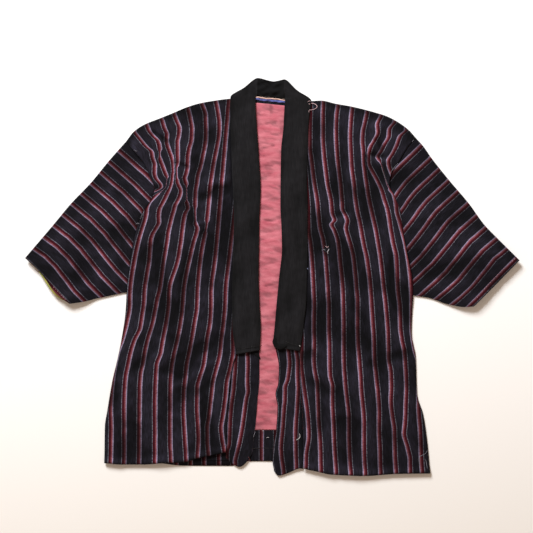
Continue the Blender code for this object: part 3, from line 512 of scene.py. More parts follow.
def shell(name, outer, inner, uv, material, ring=False, relief=None, innerUv=None):
    # a cloth wall from its outer and inner points, row by row, closed at its edges
    innerUv = uv if innerUv is None else innerUv
    rows, columns = outer.shape[:2]
    right = (outer[:, -1] + inner[:, -1]) / 2
    left = (outer[:, 0] + inner[:, 0]) / 2
    away = outer[:, -1] - outer[:, -2]
    right = right + 0.1 * away / (np.linalg.norm(away, axis=1, keepdims=True) + 1e-9)
    away = outer[:, 0] - outer[:, 1]
    left = left + 0.1 * away / (np.linalg.norm(away, axis=1, keepdims=True) + 1e-9)
    loop = np.concatenate([outer, right[:, None], inner[:, ::-1], left[:, None]], axis=1)
    loopUv = np.concatenate([uv, uv[:, -1:], innerUv[:, ::-1], uv[:, :1]], axis=1)
    wide = loop.shape[1]
    if relief is None:
        relief = np.full((rows, columns), 0.5)
    relief = np.concatenate([relief, relief[:, -1:], relief[:, ::-1], relief[:, :1]], axis=1)
    faces = []
    last = rows if ring else rows - 1
    for i in range(last):
        a = i * wide
        b = ((i + 1) % rows) * wide
        for j in range(wide):
            k = (j + 1) % wide
            faces.append((a + j, a + k, b + k, b + j))
    if not ring:
        for a in (0, (rows - 1) * wide):
            for j in range(columns - 1):
                faces.append((a + j, a + j + 1, a + 2 * columns - j - 1, a + 2 * columns - j))
            faces.append((a + columns - 1, a + columns, a + columns + 1))
            faces.append((a + 2 * columns, a + 2 * columns + 1, a))
    return meshFrom(name, loop, faces, loopUv, material, relief)


def reliefOf(lift, low, high):
    # nought in the depth of a crease, 1 on a crest; the materials paint shade and highlight from it
    return ease((lift - low) / (high - low))


def underCollar(x, y):
    # 1 where the collar lies on the cloth, easing out past its edge
    outerX = collarSections["outerX"]
    outerY = collarSections["outerY"]
    last = collarRows["leftShoulder"]
    first = collarRows["rightShoulder"]
    left = readCurve(outerY[:last], outerX[:last], y)
    right = readCurve(outerY[first:], outerX[first:], y)
    beside = np.where(x < 0, x - left, right - x)
    return ease(beside / 6 + 1) * ease((y + 172) / 8)


def withHeight(places, height):
    return np.concatenate([places, np.asarray(height, float)[..., None]], axis=-1)


# The striped pieces

bodyLook = {
    "across": 270.0,  # the front's usual width, for what lies a set way in from its side
    "columns": 104,
    "frontRows": 250,
    "backRows": 46,
    "foldShare": 1.55,
    "waves": 1.7,  # millimetres
    "longestWave": 150,
    "ripples": 0.8,
    "sideRound": 9.0,
    "hemLift": 1.2,
    "seamLip": 1.6,
    "rest": 1.4,  # how much fuller than pressed flat
    "hemRise": 3.6,  # the hem stands off the floor
    "backBow": 9.0,  # how far in the back armhole seam bows
}


def armholeLength(half):
    return half["seam"]["y"][0] - half["seam"]["y"][-1]


def bowedSeam(table):
    # a back armhole seam is nearly straight
    side = math.copysign(1.0, table["x"][0])

    def point(share):
        share = np.asarray(share, float)
        x = table["x"][0] + (table["x"][-1] - table["x"][0]) * share
        x = x - side * bodyLook["backBow"] * np.sin(math.pi * share)
        return np.stack([x, table["y"][0] + (table["y"][-1] - table["y"][0]) * share], -1)

    return point


def outerEdge(half, seamPoint, whole):
    # a body half's outer edge, down the armhole and on down the side
    armhole = armholeLength(half)

    def point(share):
        v = np.asarray(share, float) * whole
        y = half["seam"]["y"][0] - v * armhole
        side = np.stack([readCurve(half["side"]["y"], half["side"]["x"], y), y], -1)
        return np.where((v <= 1)[..., None], seamPoint(np.minimum(v, 1.0)), side)

    return point


def neckHeight(x):
    return neckLook["height"] + neckLook["slope"] * x


def frontHeight(half, u, v, x, y, whole):
    # the front's height pressed flat, and how far its folds lift it
    look = bodyLook
    armhole = armholeLength(half)
    below = ease((v - 1.0) / 0.12)
    fromSide = np.clip(u * look["across"] / look["sideRound"], 0, 1)
    drop = below * (1 - np.sqrt(1 - (1 - fromSide) ** 2))
    lift = look["foldShare"] * foldHeight(half["folds"], x, y)
    lift = lift + softWaves(x, y, half["seed"], look["longestWave"], look["waves"])
    lift = lift + softWaves(x, 0.22 * y, half["seed"] + 60, 52, look["ripples"])
    lip = look["seamLip"] * (1 - below) * ease((v - 0.2) / 0.25)
    lip = lip * np.exp(-((u * look["across"] - 4.0) / 4.0) ** 2)
    fromHem = (whole - v) * armhole
    hem = look["hemLift"] * np.exp(-((fromHem - 7.0) / 6.0) ** 2)
    quiet = ease(v / 0.05) * ease(fromHem / 3 + 0.5)
    lift = (lift + lip + hem + look["rest"]) * (1 - underCollar(x, y))
    lift = np.where(lift < 0, -0.7 * np.tanh(-lift / 0.7), lift) * (1 - drop) * quiet
    top = layers["frontTop"] - (layers["frontTop"] - 2 * cloth["wall"] - cloth["gap"]) * drop
    return top, lift


def bodyHalf(half, material):
    # one loom width, from the front hem over the shoulder to the back hem
    look = bodyLook
    armhole = armholeLength(half)
    whole = (half["seam"]["y"][0] - half["side"]["y"][-1]) / armhole
    centre = 0.5 * cloth["gap"] * math.copysign(1.0, half["seam"]["x"][0])
    neckX = half["goreSeam"]["x"][0]
    neckY = half["goreSeam"]["y"][0]
    backTop = neckHeight(centre) - cloth["gap"]
    backHem = edgeOf(half["backHem"], "x")
    hemY = half["backHem"]["y"][-1]

    def backMiddle(share):
        share = np.asarray(share, float)
        turn = np.clip(share / 0.03, 0, 1)
        x = neckX + (centre - neckX) * turn
        y = neckY + (neckHeight(x) - cloth["gap"] - neckY) * ease(4 * turn)
        down = np.clip((share - 0.03) / 0.97, 0, 1)
        return np.stack([x, np.where(share < 0.03, y, backTop + (hemY - backTop) * down)], -1)

    def backBottom(u):
        point = backHem(u)
        point[..., 0] += centre * np.asarray(u, float)
        return point

    shoulder = edgeOf(half["shoulder"], "x")
    frontPatch = patch(
        shoulder,
        edgeOf(half["hem"], "x"),
        outerEdge(half, edgeOf(half["seam"], "y"), whole),
        edgeOf(half["goreSeam"], "y"),
    )
    backPatch = patch(shoulder, backBottom, outerEdge(half, bowedSeam(half["seam"]), whole), backMiddle)

    u = np.linspace(0, 1, look["columns"])
    v = np.linspace(whole, 0, look["frontRows"])
    gridU, gridV = np.meshgrid(u, v)
    front = frontPatch(gridU, gridV / whole)
    x = front[..., 0]
    y = front[..., 1]
    top, lift = frontHeight(half, gridU, gridV, x, y, whole)
    rise = look["hemRise"] * np.exp(-(((whole - gridV) * armhole / 12.0) ** 2))
    # the cloth's underside stays clear of the lining, which stops short of the doubled side
    fromSide = gridU * look["across"] / look["sideRound"]
    onBack = layers["liningUnder"] + 0.6 * cloth["gap"]
    onLining = layers["liningUnder"] + layers["liningWall"] + cloth["gap"]
    lowest = np.where((gridV > 1) & (fromSide < 1.2), onBack, onLining)
    under = np.minimum(np.maximum(top + 0.6 * lift - cloth["wall"], lowest), top + lift - 0.4)
    outer = [withHeight(front, top + lift + rise)]
    inner = [withHeight(front, under + rise)]
    relief = [reliefOf(lift, -0.7, 4.2)]
    pixelX, pixelY = toPhoto(x, y)
    raw = stripeCount(half["stripes"], pixelX, pixelY, pixelPitch)
    # the selvedge beside the armhole's top is plain ground
    last = len(half["stripes"]) - 1
    plainEdge = np.maximum(raw, -0.72) if half["towards"] > 0 else np.minimum(raw, last + 0.72)
    raw = np.where(pixelY < half["bareAbove"], plainEdge, raw)
    count = half["towards"] * raw
    uv = [np.stack([count, gridV * armhole / cloth["stripePitch"]], -1)]

    angles = np.linspace(90, -90, turnSteps)
    radius = layers["frontTop"] / 2
    for degrees in angles:
        angle = math.radians(degrees)
        surface = frontPatch if degrees >= 0 else backPatch
        for rows, wall in ((outer, 0.0), (inner, cloth["wall"])):
            reach = (radius - (radius - wall) * math.cos(angle)) / armhole
            place = surface(u, np.full_like(u, reach / whole))
            height = radius + (radius - wall) * math.sin(angle)
            rows.append(withHeight(place, np.full_like(u, height))[None])
        down = radius * (1 - math.radians(90 - degrees)) / cloth["stripePitch"]
        uv.append(np.stack([count[-1], np.full_like(u, down)], -1)[None])
        relief.append(relief[0][-1:])

    v = np.concatenate([[0.015 * whole, 0.03 * whole], np.linspace(0.09, whole, look["backRows"])])
    gridU, gridV = np.meshgrid(u, v)
    back = backPatch(gridU, gridV / whole)
    outer.append(withHeight(back, np.zeros_like(gridU)))
    inner.append(withHeight(back, np.full_like(gridU, cloth["wall"])))
    settle = ease(gridV * armhole / 90.0)
    plain = (back[..., 0] - centre) / cloth["stripePitch"] + half["backCount"]
    backCount = count[-1][None] * (1 - settle) + half["towards"] * plain * settle
    # between the collar's two runs only the dark ground shows: the collar's dark seam allowance there, and
    # painted shadow under the piping
    atNeck = (np.abs(back[..., 0]) < neckLook["half"]) & (back[..., 1] > 352)
    backCount = np.where(atNeck, 0.5, backCount)
    relief.append(np.full_like(gridU, 0.5))
    uv.append(np.stack([backCount, -gridV * armhole / cloth["stripePitch"]], -1))
    # inside, the strip below the facing carries the facing's own stripes
    turned = np.concatenate(uv)
    pixelX = toPhoto(back[..., 0], 0.0)[0]
    facingCount = stripeCount(facingStripes, pixelX, np.full_like(pixelX, 455.0), facingPitch)
    belowFacing = back[..., 1] < -368
    turned[-len(back):, :, 0] = np.where(belowFacing, facingCount, backCount)
    return shell(
        half["name"] + "BodyCloth",
        np.concatenate(outer),
        np.concatenate(inner),
        np.concatenate(uv),
        material,
        relief=np.concatenate(relief),
        innerUv=turned,
    )


goreLook = {"columns": 34, "rows": 170, "across": 50.0, "seamValley": 0.9, "edgeRound": 4.0}


def gore(half, material):
    # the narrow piece that widens the front below the collar
    seamIn = math.copysign(cloth["seamIn"], half["goreSeam"]["x"][0])
    topY = half["frontEdge"]["y"][0]
    hemY = half["goreHem"]["y"][0]

    def seamEdge(share):
        y = topY + (hemY - topY) * np.asarray(share, float)
        return np.stack([readCurve(half["goreSeam"]["y"], half["goreSeam"]["x"], y) - seamIn, y], -1)

    def topEdge(u):
        start = seamEdge(0.0)
        x = start[0] + (half["frontEdge"]["x"][0] - start[0]) * np.asarray(u, float)
        return np.stack([x, np.full(np.shape(x), topY)], -1)

    surface = patch(topEdge, edgeOf(half["goreHem"], "x"), seamEdge, edgeOf(half["frontEdge"], "y"))
    u, v = grid(goreLook["columns"], goreLook["rows"])
    place = surface(u, v)
    x = place[..., 0]
    y = place[..., 1]
    wide = goreLook["across"]
    fromEdge = np.clip((1 - u) * wide / goreLook["edgeRound"], 0, 1)
    drop = 1 - np.sqrt(1 - (1 - fromEdge) ** 2)
    valley = goreLook["seamValley"] * np.exp(-((u * wide / 3.5) ** 2))
    lift = foldHeight(half["goreFolds"], x, y) + softWaves(x, y, half["seed"] + 20, 90, 0.7)
    lift = (lift - valley + 0.5) * (1 - underCollar(x, y))
    lift = np.maximum(lift, -0.9)
    top = layers["frontTop"] + lift
    low = layers["frontTop"] - cloth["wall"] + 0.6 * lift
    outer = withHeight(place, top - 0.8 * drop)
    inner = withHeight(place, np.maximum(low, 2.6))
    pixelX, pixelY = toPhoto(x, y)
    count = -stripeCount(half["goreStripes"], pixelX, pixelY, pixelPitch)
    uv = np.stack([count, (topY - y) / cloth["stripePitch"] + 4.3], -1)
    relief = reliefOf(lift, -1.2, 2.6)
    return shell(half["name"] + "GoreCloth", outer, inner, uv, material, relief=relief)


sleeveLook = {
    "long": 220.0,
    "columns": 110,
    "rows": 110,
    "backRows": 14,
    "waves": 1.5,
    "seamValley": 0.5,
    "cuffRise": 8.0,  # the cuff stands off the floor
    "riseReach": 0.55,
}


def rimHeight(u):
    # the folded sleeve is a little fuller at the cuff
    return layers["frontTop"] + (layers["cuffTop"] - layers["frontTop"]) * ease(1 - u)


def cuffRise(u):
    # how far the sleeve stands up, from nought at mid sleeve to the cuff
    return sleeveLook["cuffRise"] * ease(1 - np.asarray(u, float) / sleeveLook["riseReach"])


def sleeveSurface(half, seamPoint):
    seamOut = math.copysign(cloth["seamIn"], half["seam"]["x"][0])

    def armholeEdge(v):
        point = seamPoint(v)
        point[..., 0] += seamOut
        return point

    def ended(table, v):
        edge = edgeOf(table, "x")

        def point(u):
            share = np.asarray(u, float)[..., None]
            return edge(u) + (armholeEdge(v) - edge(1.0)) * share

        return point

    return patch(
        ended(half["sleeveFold"], 0.0),
        ended(half["sleeveSeam"], 1.0),
        edgeOf(half["cuff"], "x"),
        armholeEdge,
    )


def sleeveCount(half, x, y, v):
    stripes = half["sleeveStripes"]
    pixelX, pixelY = toPhoto(x, y)
    across = stripes["acrossX"] * pixelX + stripes["acrossY"] * pixelY
    # the bow fades out where the cuff's fold keeps the last stripe straight
    straight = ease((stripes["atFold"][-1] - across) / 15.0)
    across = across - np.interp(v, stripes["bowAt"], stripes["bow"]) * straight

    def along(places):
        places = np.asarray(places)
        count = np.interp(across, places, np.arange(float(len(places))))
        count = count + np.minimum(across - places[0], 0) / pixelPitch
        return count + np.maximum(across - places[-1], 0) / pixelPitch

    share = ease(v)
    count = along(stripes["atFold"]) * (1 - share) + along(stripes["atSeam"]) * share
    return stripes["towardsCuff"] * count


def sleeve(half, material):
    # a flat tube, folded along its upper edge, open at the cuff and the armhole
    look = sleeveLook
    armhole = armholeLength(half)
    front = sleeveSurface(half, edgeOf(half["seam"], "y"))
    back = sleeveSurface(half, bowedSeam(half["seam"]))
    u = np.linspace(0, 1, look["columns"])
    stripes = half["sleeveStripes"]
    outer = []
    inner = []
    uv = []
    relief = []

    def sleeveUv(place, v):
        x = place[..., 0]
        y = place[..., 1]
        count = sleeveCount(half, x, y, v)
        alongX = -stripes["acrossY"] * math.copysign(1, stripes["acrossX"])
        alongY = abs(stripes["acrossX"])
        run = (alongX * x - alongY * y) / cloth["stripePitch"]
        return np.stack([count, run], -1)

    def turn(start, inward, angles):
        for degrees in angles:
            angle = math.radians(degrees)
            surface = front if degrees >= 0 else back
            radius = rimHeight(u) / 2
            for rows, wall in ((outer, 0.0), (inner, cloth["wall"])):
                reach = (radius - (radius - wall) * math.cos(angle)) / armhole
                place = surface(u, start + inward * reach)
                rows.append(withHeight(place, radius + (radius - wall) * math.sin(angle) + cuffRise(u)))
            edge = np.full_like(u, start)
            uv.append(sleeveUv(front(u, edge), edge))
            relief.append(np.full_like(u, 0.4))

    angles = np.linspace(90, -90, turnSteps)
    turn(0.0, 1, angles[::-1])
    for v in np.linspace(0, 1, look["rows"] + 2)[1:-1]:
        row = np.full_like(u, v)
        place = front(u, row)
        x = place[..., 0]
        y = place[..., 1]
        quiet = ease(6 * row) * ease(6 - 6 * row)
        lift = foldHeight(half["sleeveFolds"], x, y)
        lift = (lift + softWaves(x, y, half["seed"] + 40, 130, look["waves"])) * quiet
        lift = lift - look["seamValley"] * quiet * np.exp(-(((1 - u) * look["long"] / 4.0) ** 2))
        lift = lift + 0.9 * (1 - ease(3 * row)) * ease(6 * row) * ease(4 * u - 2.6)
        lift = np.maximum(lift + 0.6 * quiet, -1.2)
        relief.append(reliefOf(lift, -1.2, 3.0))
        rim = rimHeight(u)
        outer.append(withHeight(place, rim + lift + cuffRise(u)))
        inner.append(withHeight(place, np.maximum(rim + 0.6 * lift - cloth["wall"], 1.5) + cuffRise(u)))
        uv.append(sleeveUv(place, row))
    turn(1.0, -1, angles)
    for v in np.linspace(1, 0, look["backRows"] + 2)[1:-1]:
        row = np.full_like(u, v)
        place = back(u, row)
        outer.append(withHeight(place, cuffRise(u)))
        inner.append(withHeight(place, cloth["wall"] + cuffRise(u)))
        uv.append(sleeveUv(place, row))
        relief.append(np.full_like(u, 0.5))
    return shell(
        half["name"] + "SleeveCloth",
        np.stack(outer),
        np.stack(inner),
        np.stack(uv),
        material,
        ring=True,
        relief=np.stack(relief),
    )


# The collar

collarLook = {
    "along": 520,
    "across": 34,
    "wall": 2.6,
    "puff": 1.4,
    "edge": 1.6,
    "waves": 0.9,
    "innerWaves": 1.6,
    "turnRidge": 1.6,
    "endHem": 7.0,
}


def collarBand(material):
    table = {key: np.asarray(values, float) for key, values in collarSections.items()}
    sumX = table["outerX"] + table["innerX"]
    sumY = table["outerY"] + table["innerY"]
    steps = np.hypot(np.diff(sumX), np.diff(sumY)) / 2
    run = np.concatenate([[0], np.cumsum(np.maximum(steps, 6.0))])
    at = np.linspace(0, run[-1], collarLook["along"])
    read = {key: readCurve(run, table[key], at) for key in table}
    width = np.hypot(read["outerX"] - read["innerX"], read["outerY"] - read["innerY"])
    share = 0.5 - 0.5 * np.cos(np.linspace(0, math.pi, collarLook["across"]))
    x = read["innerX"][:, None] + (read["outerX"] - read["innerX"])[:, None] * share
    y = read["innerY"][:, None] + (read["outerY"] - read["innerY"])[:, None] * share
    edge = np.minimum(share, 1 - share)[None] * width[:, None]
    rounded = np.sqrt(1 - (1 - np.clip(edge / collarLook["edge"], 0, 1)) ** 2)
    half = collarLook["wall"] / 2
    middleZ = read["under"][:, None] + half
    # the neck's back stretch shows the collar's inside, lower and more wrinkled, and darkened with painted
    # shade
    turns = (run[collarRows["insideFrom"]], run[collarRows["insideTo"]])
    inside = ease((at - turns[0]) / 3 + 0.5) * ease((turns[1] - at) / 3 + 0.5)
    ridges = sum(np.exp(-(((at - turn) / 3.5) ** 2)) for turn in turns)
    puff = collarLook["puff"] * ease(edge / 14.0) + softWaves(x, y, 31, 110, collarLook["waves"])
    puff = puff + softWaves(x, 0.3 * y, 37, 40, 0.5)
    puff = puff + collarLook["turnRidge"] * ridges[:, None]
    puff = puff + inside[:, None] * softWaves(x, 1.4 * y, 33, 34, collarLook["innerWaves"])
    fromEnd = np.minimum(at, at[-1] - at)[:, None]
    puff = puff - 1.1 * np.exp(-(((fromEnd - collarLook["endHem"]) / 2.0) ** 2))
    top = middleZ + half * rounded + np.maximum(puff, -0.8) * rounded
    low = middleZ - half * rounded
    outer = np.stack([x, y, top], -1)
    inner = np.stack([x, y, low], -1)
    uv = np.stack([np.broadcast_to(share * 56, x.shape), np.broadcast_to(at[:, None], x.shape)], -1)
    wide = 2 * collarLook["across"] - 2
    loop = np.concatenate([outer, inner[:, -2:0:-1]], axis=1)
    loopUv = np.concatenate([uv, uv[:, -2:0:-1]], axis=1) / cloth["stripePitch"]
    # the inside gets relief nought: painted shade, as dark as the deepest crease
    depth = reliefOf(puff, -1.2, 3.0) * (1 - inside[:, None])
    depth = np.concatenate([depth, depth[:, -2:0:-1]], axis=1)
    faces = []
    for i in range(collarLook["along"] - 1):
        for j in range(wide):
            k = (j + 1) % wide
            faces.append((i * wide + j, i * wide + k, (i + 1) * wide + k, (i + 1) * wide + j))
    for a in (0, (collarLook["along"] - 1) * wide):
        last = collarLook["across"] - 1
        faces.append((a, a + 1, a + wide - 1))
        for j in range(1, last - 1):
            faces.append((a + j, a + j + 1, a + wide - j - 1, a + wide - j))
        faces.append((a + last - 1, a + last, a + last + 1))
    return meshFrom("collarBand", loop, faces, loopUv, material, depth)


# The inside: lining, facing, piping and the sliver of sleeve lining

liningLook = {
    "columns": 170,
    "rows": 260,
    "bottom": -322.0,
    "fromSide": 14.0,
    "fromShoulder": 10.0,
    "fromNeck": 13.6,
    "wrinkles": 90,
    "seed": 12,
}
facingLook = {"columns": 150, "rows": 40, "top": -322.3, "bottom": -386.5, "pressedTo": -372}
neckLook = {"half": 46.0, "height": 375.0, "slope": -0.1}
# the creases that stand out, in millimetres, as valleys
liningCreases = [
    (-15, 320, 14, 325, 2.2, -0.9), (0, 320, 10, 323, 2.6, -0.8), (-20, 269, 10, 275, 2.2, -0.9),
    (-2, 271, 8, 274, 3.0, -0.8), (-14, 233, 5, 232, 2.2, -0.8), (-16, 209, 6, 212, 2.0, -0.6),
    (-1, 362, 0, 328, 2.4, -0.7), (-17, 120, 4, 116, 2.4, -0.6), (-15, -20, 4, -16, 2.4, -0.6),
]


def backReach(half, y):
    # how far out the lining and the facing go on the back
    v = (half["seam"]["y"][0] - y) / armholeLength(half)
    seam = bowedSeam(half["seam"])(np.clip(v, 0, 1))[..., 0]
    side = readCurve(half["side"]["y"], half["side"]["x"], y)
    x = np.where(v <= 1, seam, side)
    return x - math.copysign(liningLook["fromSide"], half["seam"]["x"][0])


def liningTop(x):
    # the lining's upper edge, below the shoulders and the neck
    left = readCurve(leftHalf["shoulder"]["x"], leftHalf["shoulder"]["y"], x)
    right = readCurve(rightHalf["shoulder"]["x"], rightHalf["shoulder"]["y"], x)
    shoulder = np.where(x < 0, left, right) - liningLook["fromShoulder"]
    neck = neckHeight(x) - liningLook["fromNeck"]
    return np.where(np.abs(x) < neckLook["half"], neck, np.minimum(shoulder, neck))


def acrossBack(top, bottom, rows, columns):
    u, v = grid(columns, rows)
    left = backReach(leftHalf, 300.0)
    right = backReach(rightHalf, 300.0)
    high = top(left + (right - left) * u)
    y = high + (bottom - high) * v
    lowX = backReach(leftHalf, y)
    highX = backReach(rightHalf, y)
    return np.stack([lowX + (highX - lowX) * u, y], -1)


def openWindow(x, y):
    # 1 in the front opening, where the lining shows, and nought under the fronts
    left = readCurve(leftHalf["frontEdge"]["y"], leftHalf["frontEdge"]["x"], y)
    right = readCurve(rightHalf["frontEdge"]["y"], rightHalf["frontEdge"]["x"], y)
    return ease((x - left - 1) / 8) * ease((right - 1 - x) / 8)


def lining(material):
    place = acrossBack(liningTop, liningLook["bottom"], liningLook["rows"], liningLook["columns"])
    x = place[..., 0]
    y = place[..., 1]
    chance = np.random.default_rng(liningLook["seed"])
    lift = np.zeros_like(x)
    for wrinkle in range(liningLook["wrinkles"]):
        at = 355 - 665 * (wrinkle + chance.uniform(0, 1)) / liningLook["wrinkles"]
        middleX = chance.uniform(-22, 14)
        reach = chance.uniform(8, 34)
        slant = chance.uniform(-0.22, 0.22)
        wide = chance.uniform(1.6, 4.2)
        # the lining lies smoother towards the hem
        high = chance.uniform(0.3, 1.0) * (0.5 + 0.5 * ease((at + 60) / 200))
        away = y - at - slant * (x - middleX) - 2.0 * np.sin((x - middleX) / 13 + wrinkle)
        lift += high * np.exp(-((away / wide) ** 2)) * np.exp(-(((x - middleX) / reach) ** 2))
    lift = np.maximum(lift + foldHeight(liningCreases, x, y), -0.6) * openWindow(x, y)
    patches = softWaves(x, 2 * y, 17, 60, 0.35)
    under = layers["liningUnder"]
    outer = withHeight(place, under + layers["liningWall"] + lift)
    inner = withHeight(place, np.full_like(x, under))
    uv = place / cloth["stripePitch"]
    return shell("backLining", outer, inner, uv, material, relief=reliefOf(lift + patches, -0.7, 1.3))


def facing(material):
    look = facingLook

    def top(x):
        return np.full_like(x, look["top"])

    place = acrossBack(top, look["bottom"], look["rows"], look["columns"])
    x = place[..., 0]
    y = place[..., 1]
    window = openWindow(x, np.maximum(y, look["pressedTo"]))
    lift = softWaves(x, y, 5, 60, 0.35) * window
    under = layers["liningUnder"]
    outer = withHeight(place, under + layers["liningWall"] + lift)
    inner = withHeight(place, np.full_like(x, under))
    pixelX, pixelY = toPhoto(x, y)
    uv = np.stack([stripeCount(facingStripes, pixelX, pixelY, facingPitch), -y / cloth["stripePitch"]], -1)
    # painted shade: the facing is darkened, most where the fronts lie over it and less in the opening
    relief = 0.12 + 0.3 * window
    return shell("hemFacing", outer, inner, uv, material, relief=relief)


pipingLook = {
    "salmon": {"below": 0.8, "width": 2.6, "high": 0.9, "seed": 4},
    "blue": {"below": 3.9, "width": 4.4, "high": 0.9, "seed": 9},
    "start": -36.0,
    "long": 68.0,
    "top": 2.2,
}


def piping(shade, material):
    strip = pipingLook[shade]
    u, v = grid(40, 9)
    x = pipingLook["start"] + pipingLook["long"] * u
    y = neckHeight(x) - strip["below"] - strip["width"] * v
    y = y + softWaves(x, 0 * x, strip["seed"], 30, 0.7)
    bulge = strip["high"] * np.sqrt(np.maximum(0, 1 - (2 * v - 1) ** 2))
    bulge = bulge + softWaves(x, 2 * y, strip["seed"], 16, 0.5)
    place = np.stack([x, y], -1)
    outer = withHeight(place, pipingLook["top"] + bulge)
    inner = withHeight(place, np.full_like(x, layers["liningUnder"]))
    return shell("neckPiping" + shade.capitalize(), outer, inner, place / cloth["stripePitch"], material)


# where the green shows along the cuff, how far it stands out and how far it goes in
cuffLiningLook = {"start": 0.3, "share": 0.58, "past": 4.5, "within": 40.0}


def cuffLining(material):
    look = cuffLiningLook
    cuff = edgeOf(leftHalf["cuff"], "x")
    u, v = grid(40, 20)
    point = cuff(look["start"] + look["share"] * u)
    out = look["past"] * np.sqrt(np.sin(math.pi * np.clip(u, 0, 1)))
    step = out - (out + look["within"]) * v
    place = point + np.stack([-0.66 * step, -0.75 * step], -1)
    risen = cuffRise(np.clip(v * 0.18, 0, 1))
    outer = withHeight(place, 2.5 + 0.25 * np.sin(u * 19) + risen)
    inner = withHeight(place, 1.5 + risen)
    return shell("leftCuffLining", outer, inner, place / cloth["stripePitch"], material)


# Materials

def colour(hexCode):
    # sRGB to linear
    values = [int(hexCode[i : i + 2], 16) / 255 for i in (1, 3, 5)]
    return [*(c / 12.92 if c <= 0.04045 else ((c + 0.055) / 1.055) ** 2.4 for c in values), 1.0]


def newMaterial(name):
    made = bpy.data.materials.new(name)
    made.use_nodes = True
    made.node_tree.nodes.clear()
    return made


def addNode(material, kind, settings=None, links=None):
    # settings go to the node's own values or, by name or number, to its inputs; links come from sockets
    node = material.node_tree.nodes.new(kind)
    for key, value in (settings or {}).items():
        if isinstance(key, str) and hasattr(node, key):
            setattr(node, key, value)
        else:
            node.inputs[key].default_value = value
    for key, source in (links or {}).items():
        material.node_tree.links.new(source, node.inputs[key])
    return node


def ramp(material, source, stops, smooth="LINEAR"):
    node = addNode(material, "ShaderNodeValToRGB", links={"Fac": source})
    node.color_ramp.interpolation = smooth
    elements = node.color_ramp.elements
    while len(elements) < len(stops):
        elements.new(0.5)
    for element, (place, value) in zip(elements, stops):
        element.position = place
        element.color = value if not isinstance(value, float) else (value, value, value, 1.0)
    return node.outputs["Color"]


def noise(material, place, scale, detail=3.0, roughness=0.55):
    settings = {"Scale": scale, "Detail": detail, "Roughness": roughness}
    return addNode(material, "ShaderNodeTexNoise", settings, {"Vector": place}).outputs["Fac"]


def stretch(material, place, scale):
    return addNode(material, "ShaderNodeMapping", {"Scale": scale}, {"Vector": place}).outputs["Vector"]


def sums(material, operation, a, b=None):
    node = addNode(material, "ShaderNodeMath", {"operation": operation})
    for i, value in enumerate((a, b)):
        if value is None:
            continue
        if isinstance(value, (int, float)):
            node.inputs[i].default_value = value
        else:
            material.node_tree.links.new(value, node.inputs[i])
    return node.outputs[0]


def mixed(material, amount, a, b, blend="MIX"):
    node = addNode(material, "ShaderNodeMix", {"data_type": "RGBA", "blend_type": blend})
    for key, value in ((0, amount), (6, a), (7, b)):
        if isinstance(value, bpy.types.NodeSocket):
            material.node_tree.links.new(value, node.inputs[key])
        else:
            node.inputs[key].default_value = value
    return node.outputs[2]


def clothUv(material):
    return addNode(material, "ShaderNodeUVMap", {"uv_map": "cloth"}).outputs["UV"]


def paintedReliefShade(material, base, stops):
    # painted shade and highlight: the colour is darkened where the relief attribute marks a crease and
    # lightened where it marks a crest
    relief = addNode(material, "ShaderNodeAttribute", {"attribute_name": "relief"}).outputs["Fac"]
    return mixed(material, 1.0, base, ramp(material, relief, stops), "MULTIPLY")


def finishMaterial(material, base, height, settings, bump):
    shader = {"Base Color": base}
    if height is not None:
        relief = addNode(material, "ShaderNodeBump", bump, {"Height": height})
        shader["Normal"] = relief.outputs["Normal"]
    surface = addNode(material, "ShaderNodeBsdfPrincipled", settings, shader)
    addNode(material, "ShaderNodeOutputMaterial", links={"Surface": surface.outputs["BSDF"]})
    return material


stripedLook = {
    "ground": "#0f0d11",
    "groundLight": "#201e28",
    "maroon": "#34060f",
    "brick": "#6a363c",
    "lavender": "#786e84",
    "hairline": "#74737f",
    "wobble": 0.035,
}
wornLook = {"x": 114.0, "y": 56.5, "across": 8.0, "along": 8.5, "dark": "#150f16", "rag": "#5d5560"}


def wornThrough(material, base):
    # one stripe of the right front is worn through to its dark ground, with paler threads left
    place = addNode(material, "ShaderNodeTexCoord").outputs["Object"]
    parts = addNode(material, "ShaderNodeSeparateXYZ", links={"Vector": place})
    squares = []
    for axis, reach in (("X", wornLook["across"]), ("Y", wornLook["along"])):
        at = (wornLook[axis.lower()] - middle[axis.lower()]) * mm
        away = sums(material, "SUBTRACT", parts.outputs[axis], at)
        share = sums(material, "DIVIDE", away, reach * mm)
        squares.append(sums(material, "MULTIPLY", share, share))
    ragged = noise(material, place, 420.0, 3.0)
    far = sums(material, "ADD", sums(material, "ADD", squares[0], squares[1]), ragged)
    mask = ramp(material, far, [(0.95, 1.0), (1.45, 0.0)])
    upper = ramp(material, sums(material, "MULTIPLY", parts.outputs["Z"], 100.0), [(0.2, 0.0), (0.3, 1.0)])
    mask = sums(material, "MULTIPLY", mask, upper)
    frayed = noise(material, stretch(material, place, (1.0, 0.35, 1.0)), 900.0, 2.0)
    worn = ramp(material, frayed, [(0.48, colour(wornLook["dark"])), (0.72, colour(wornLook["rag"]))])
    return mixed(material, mask, base, worn)


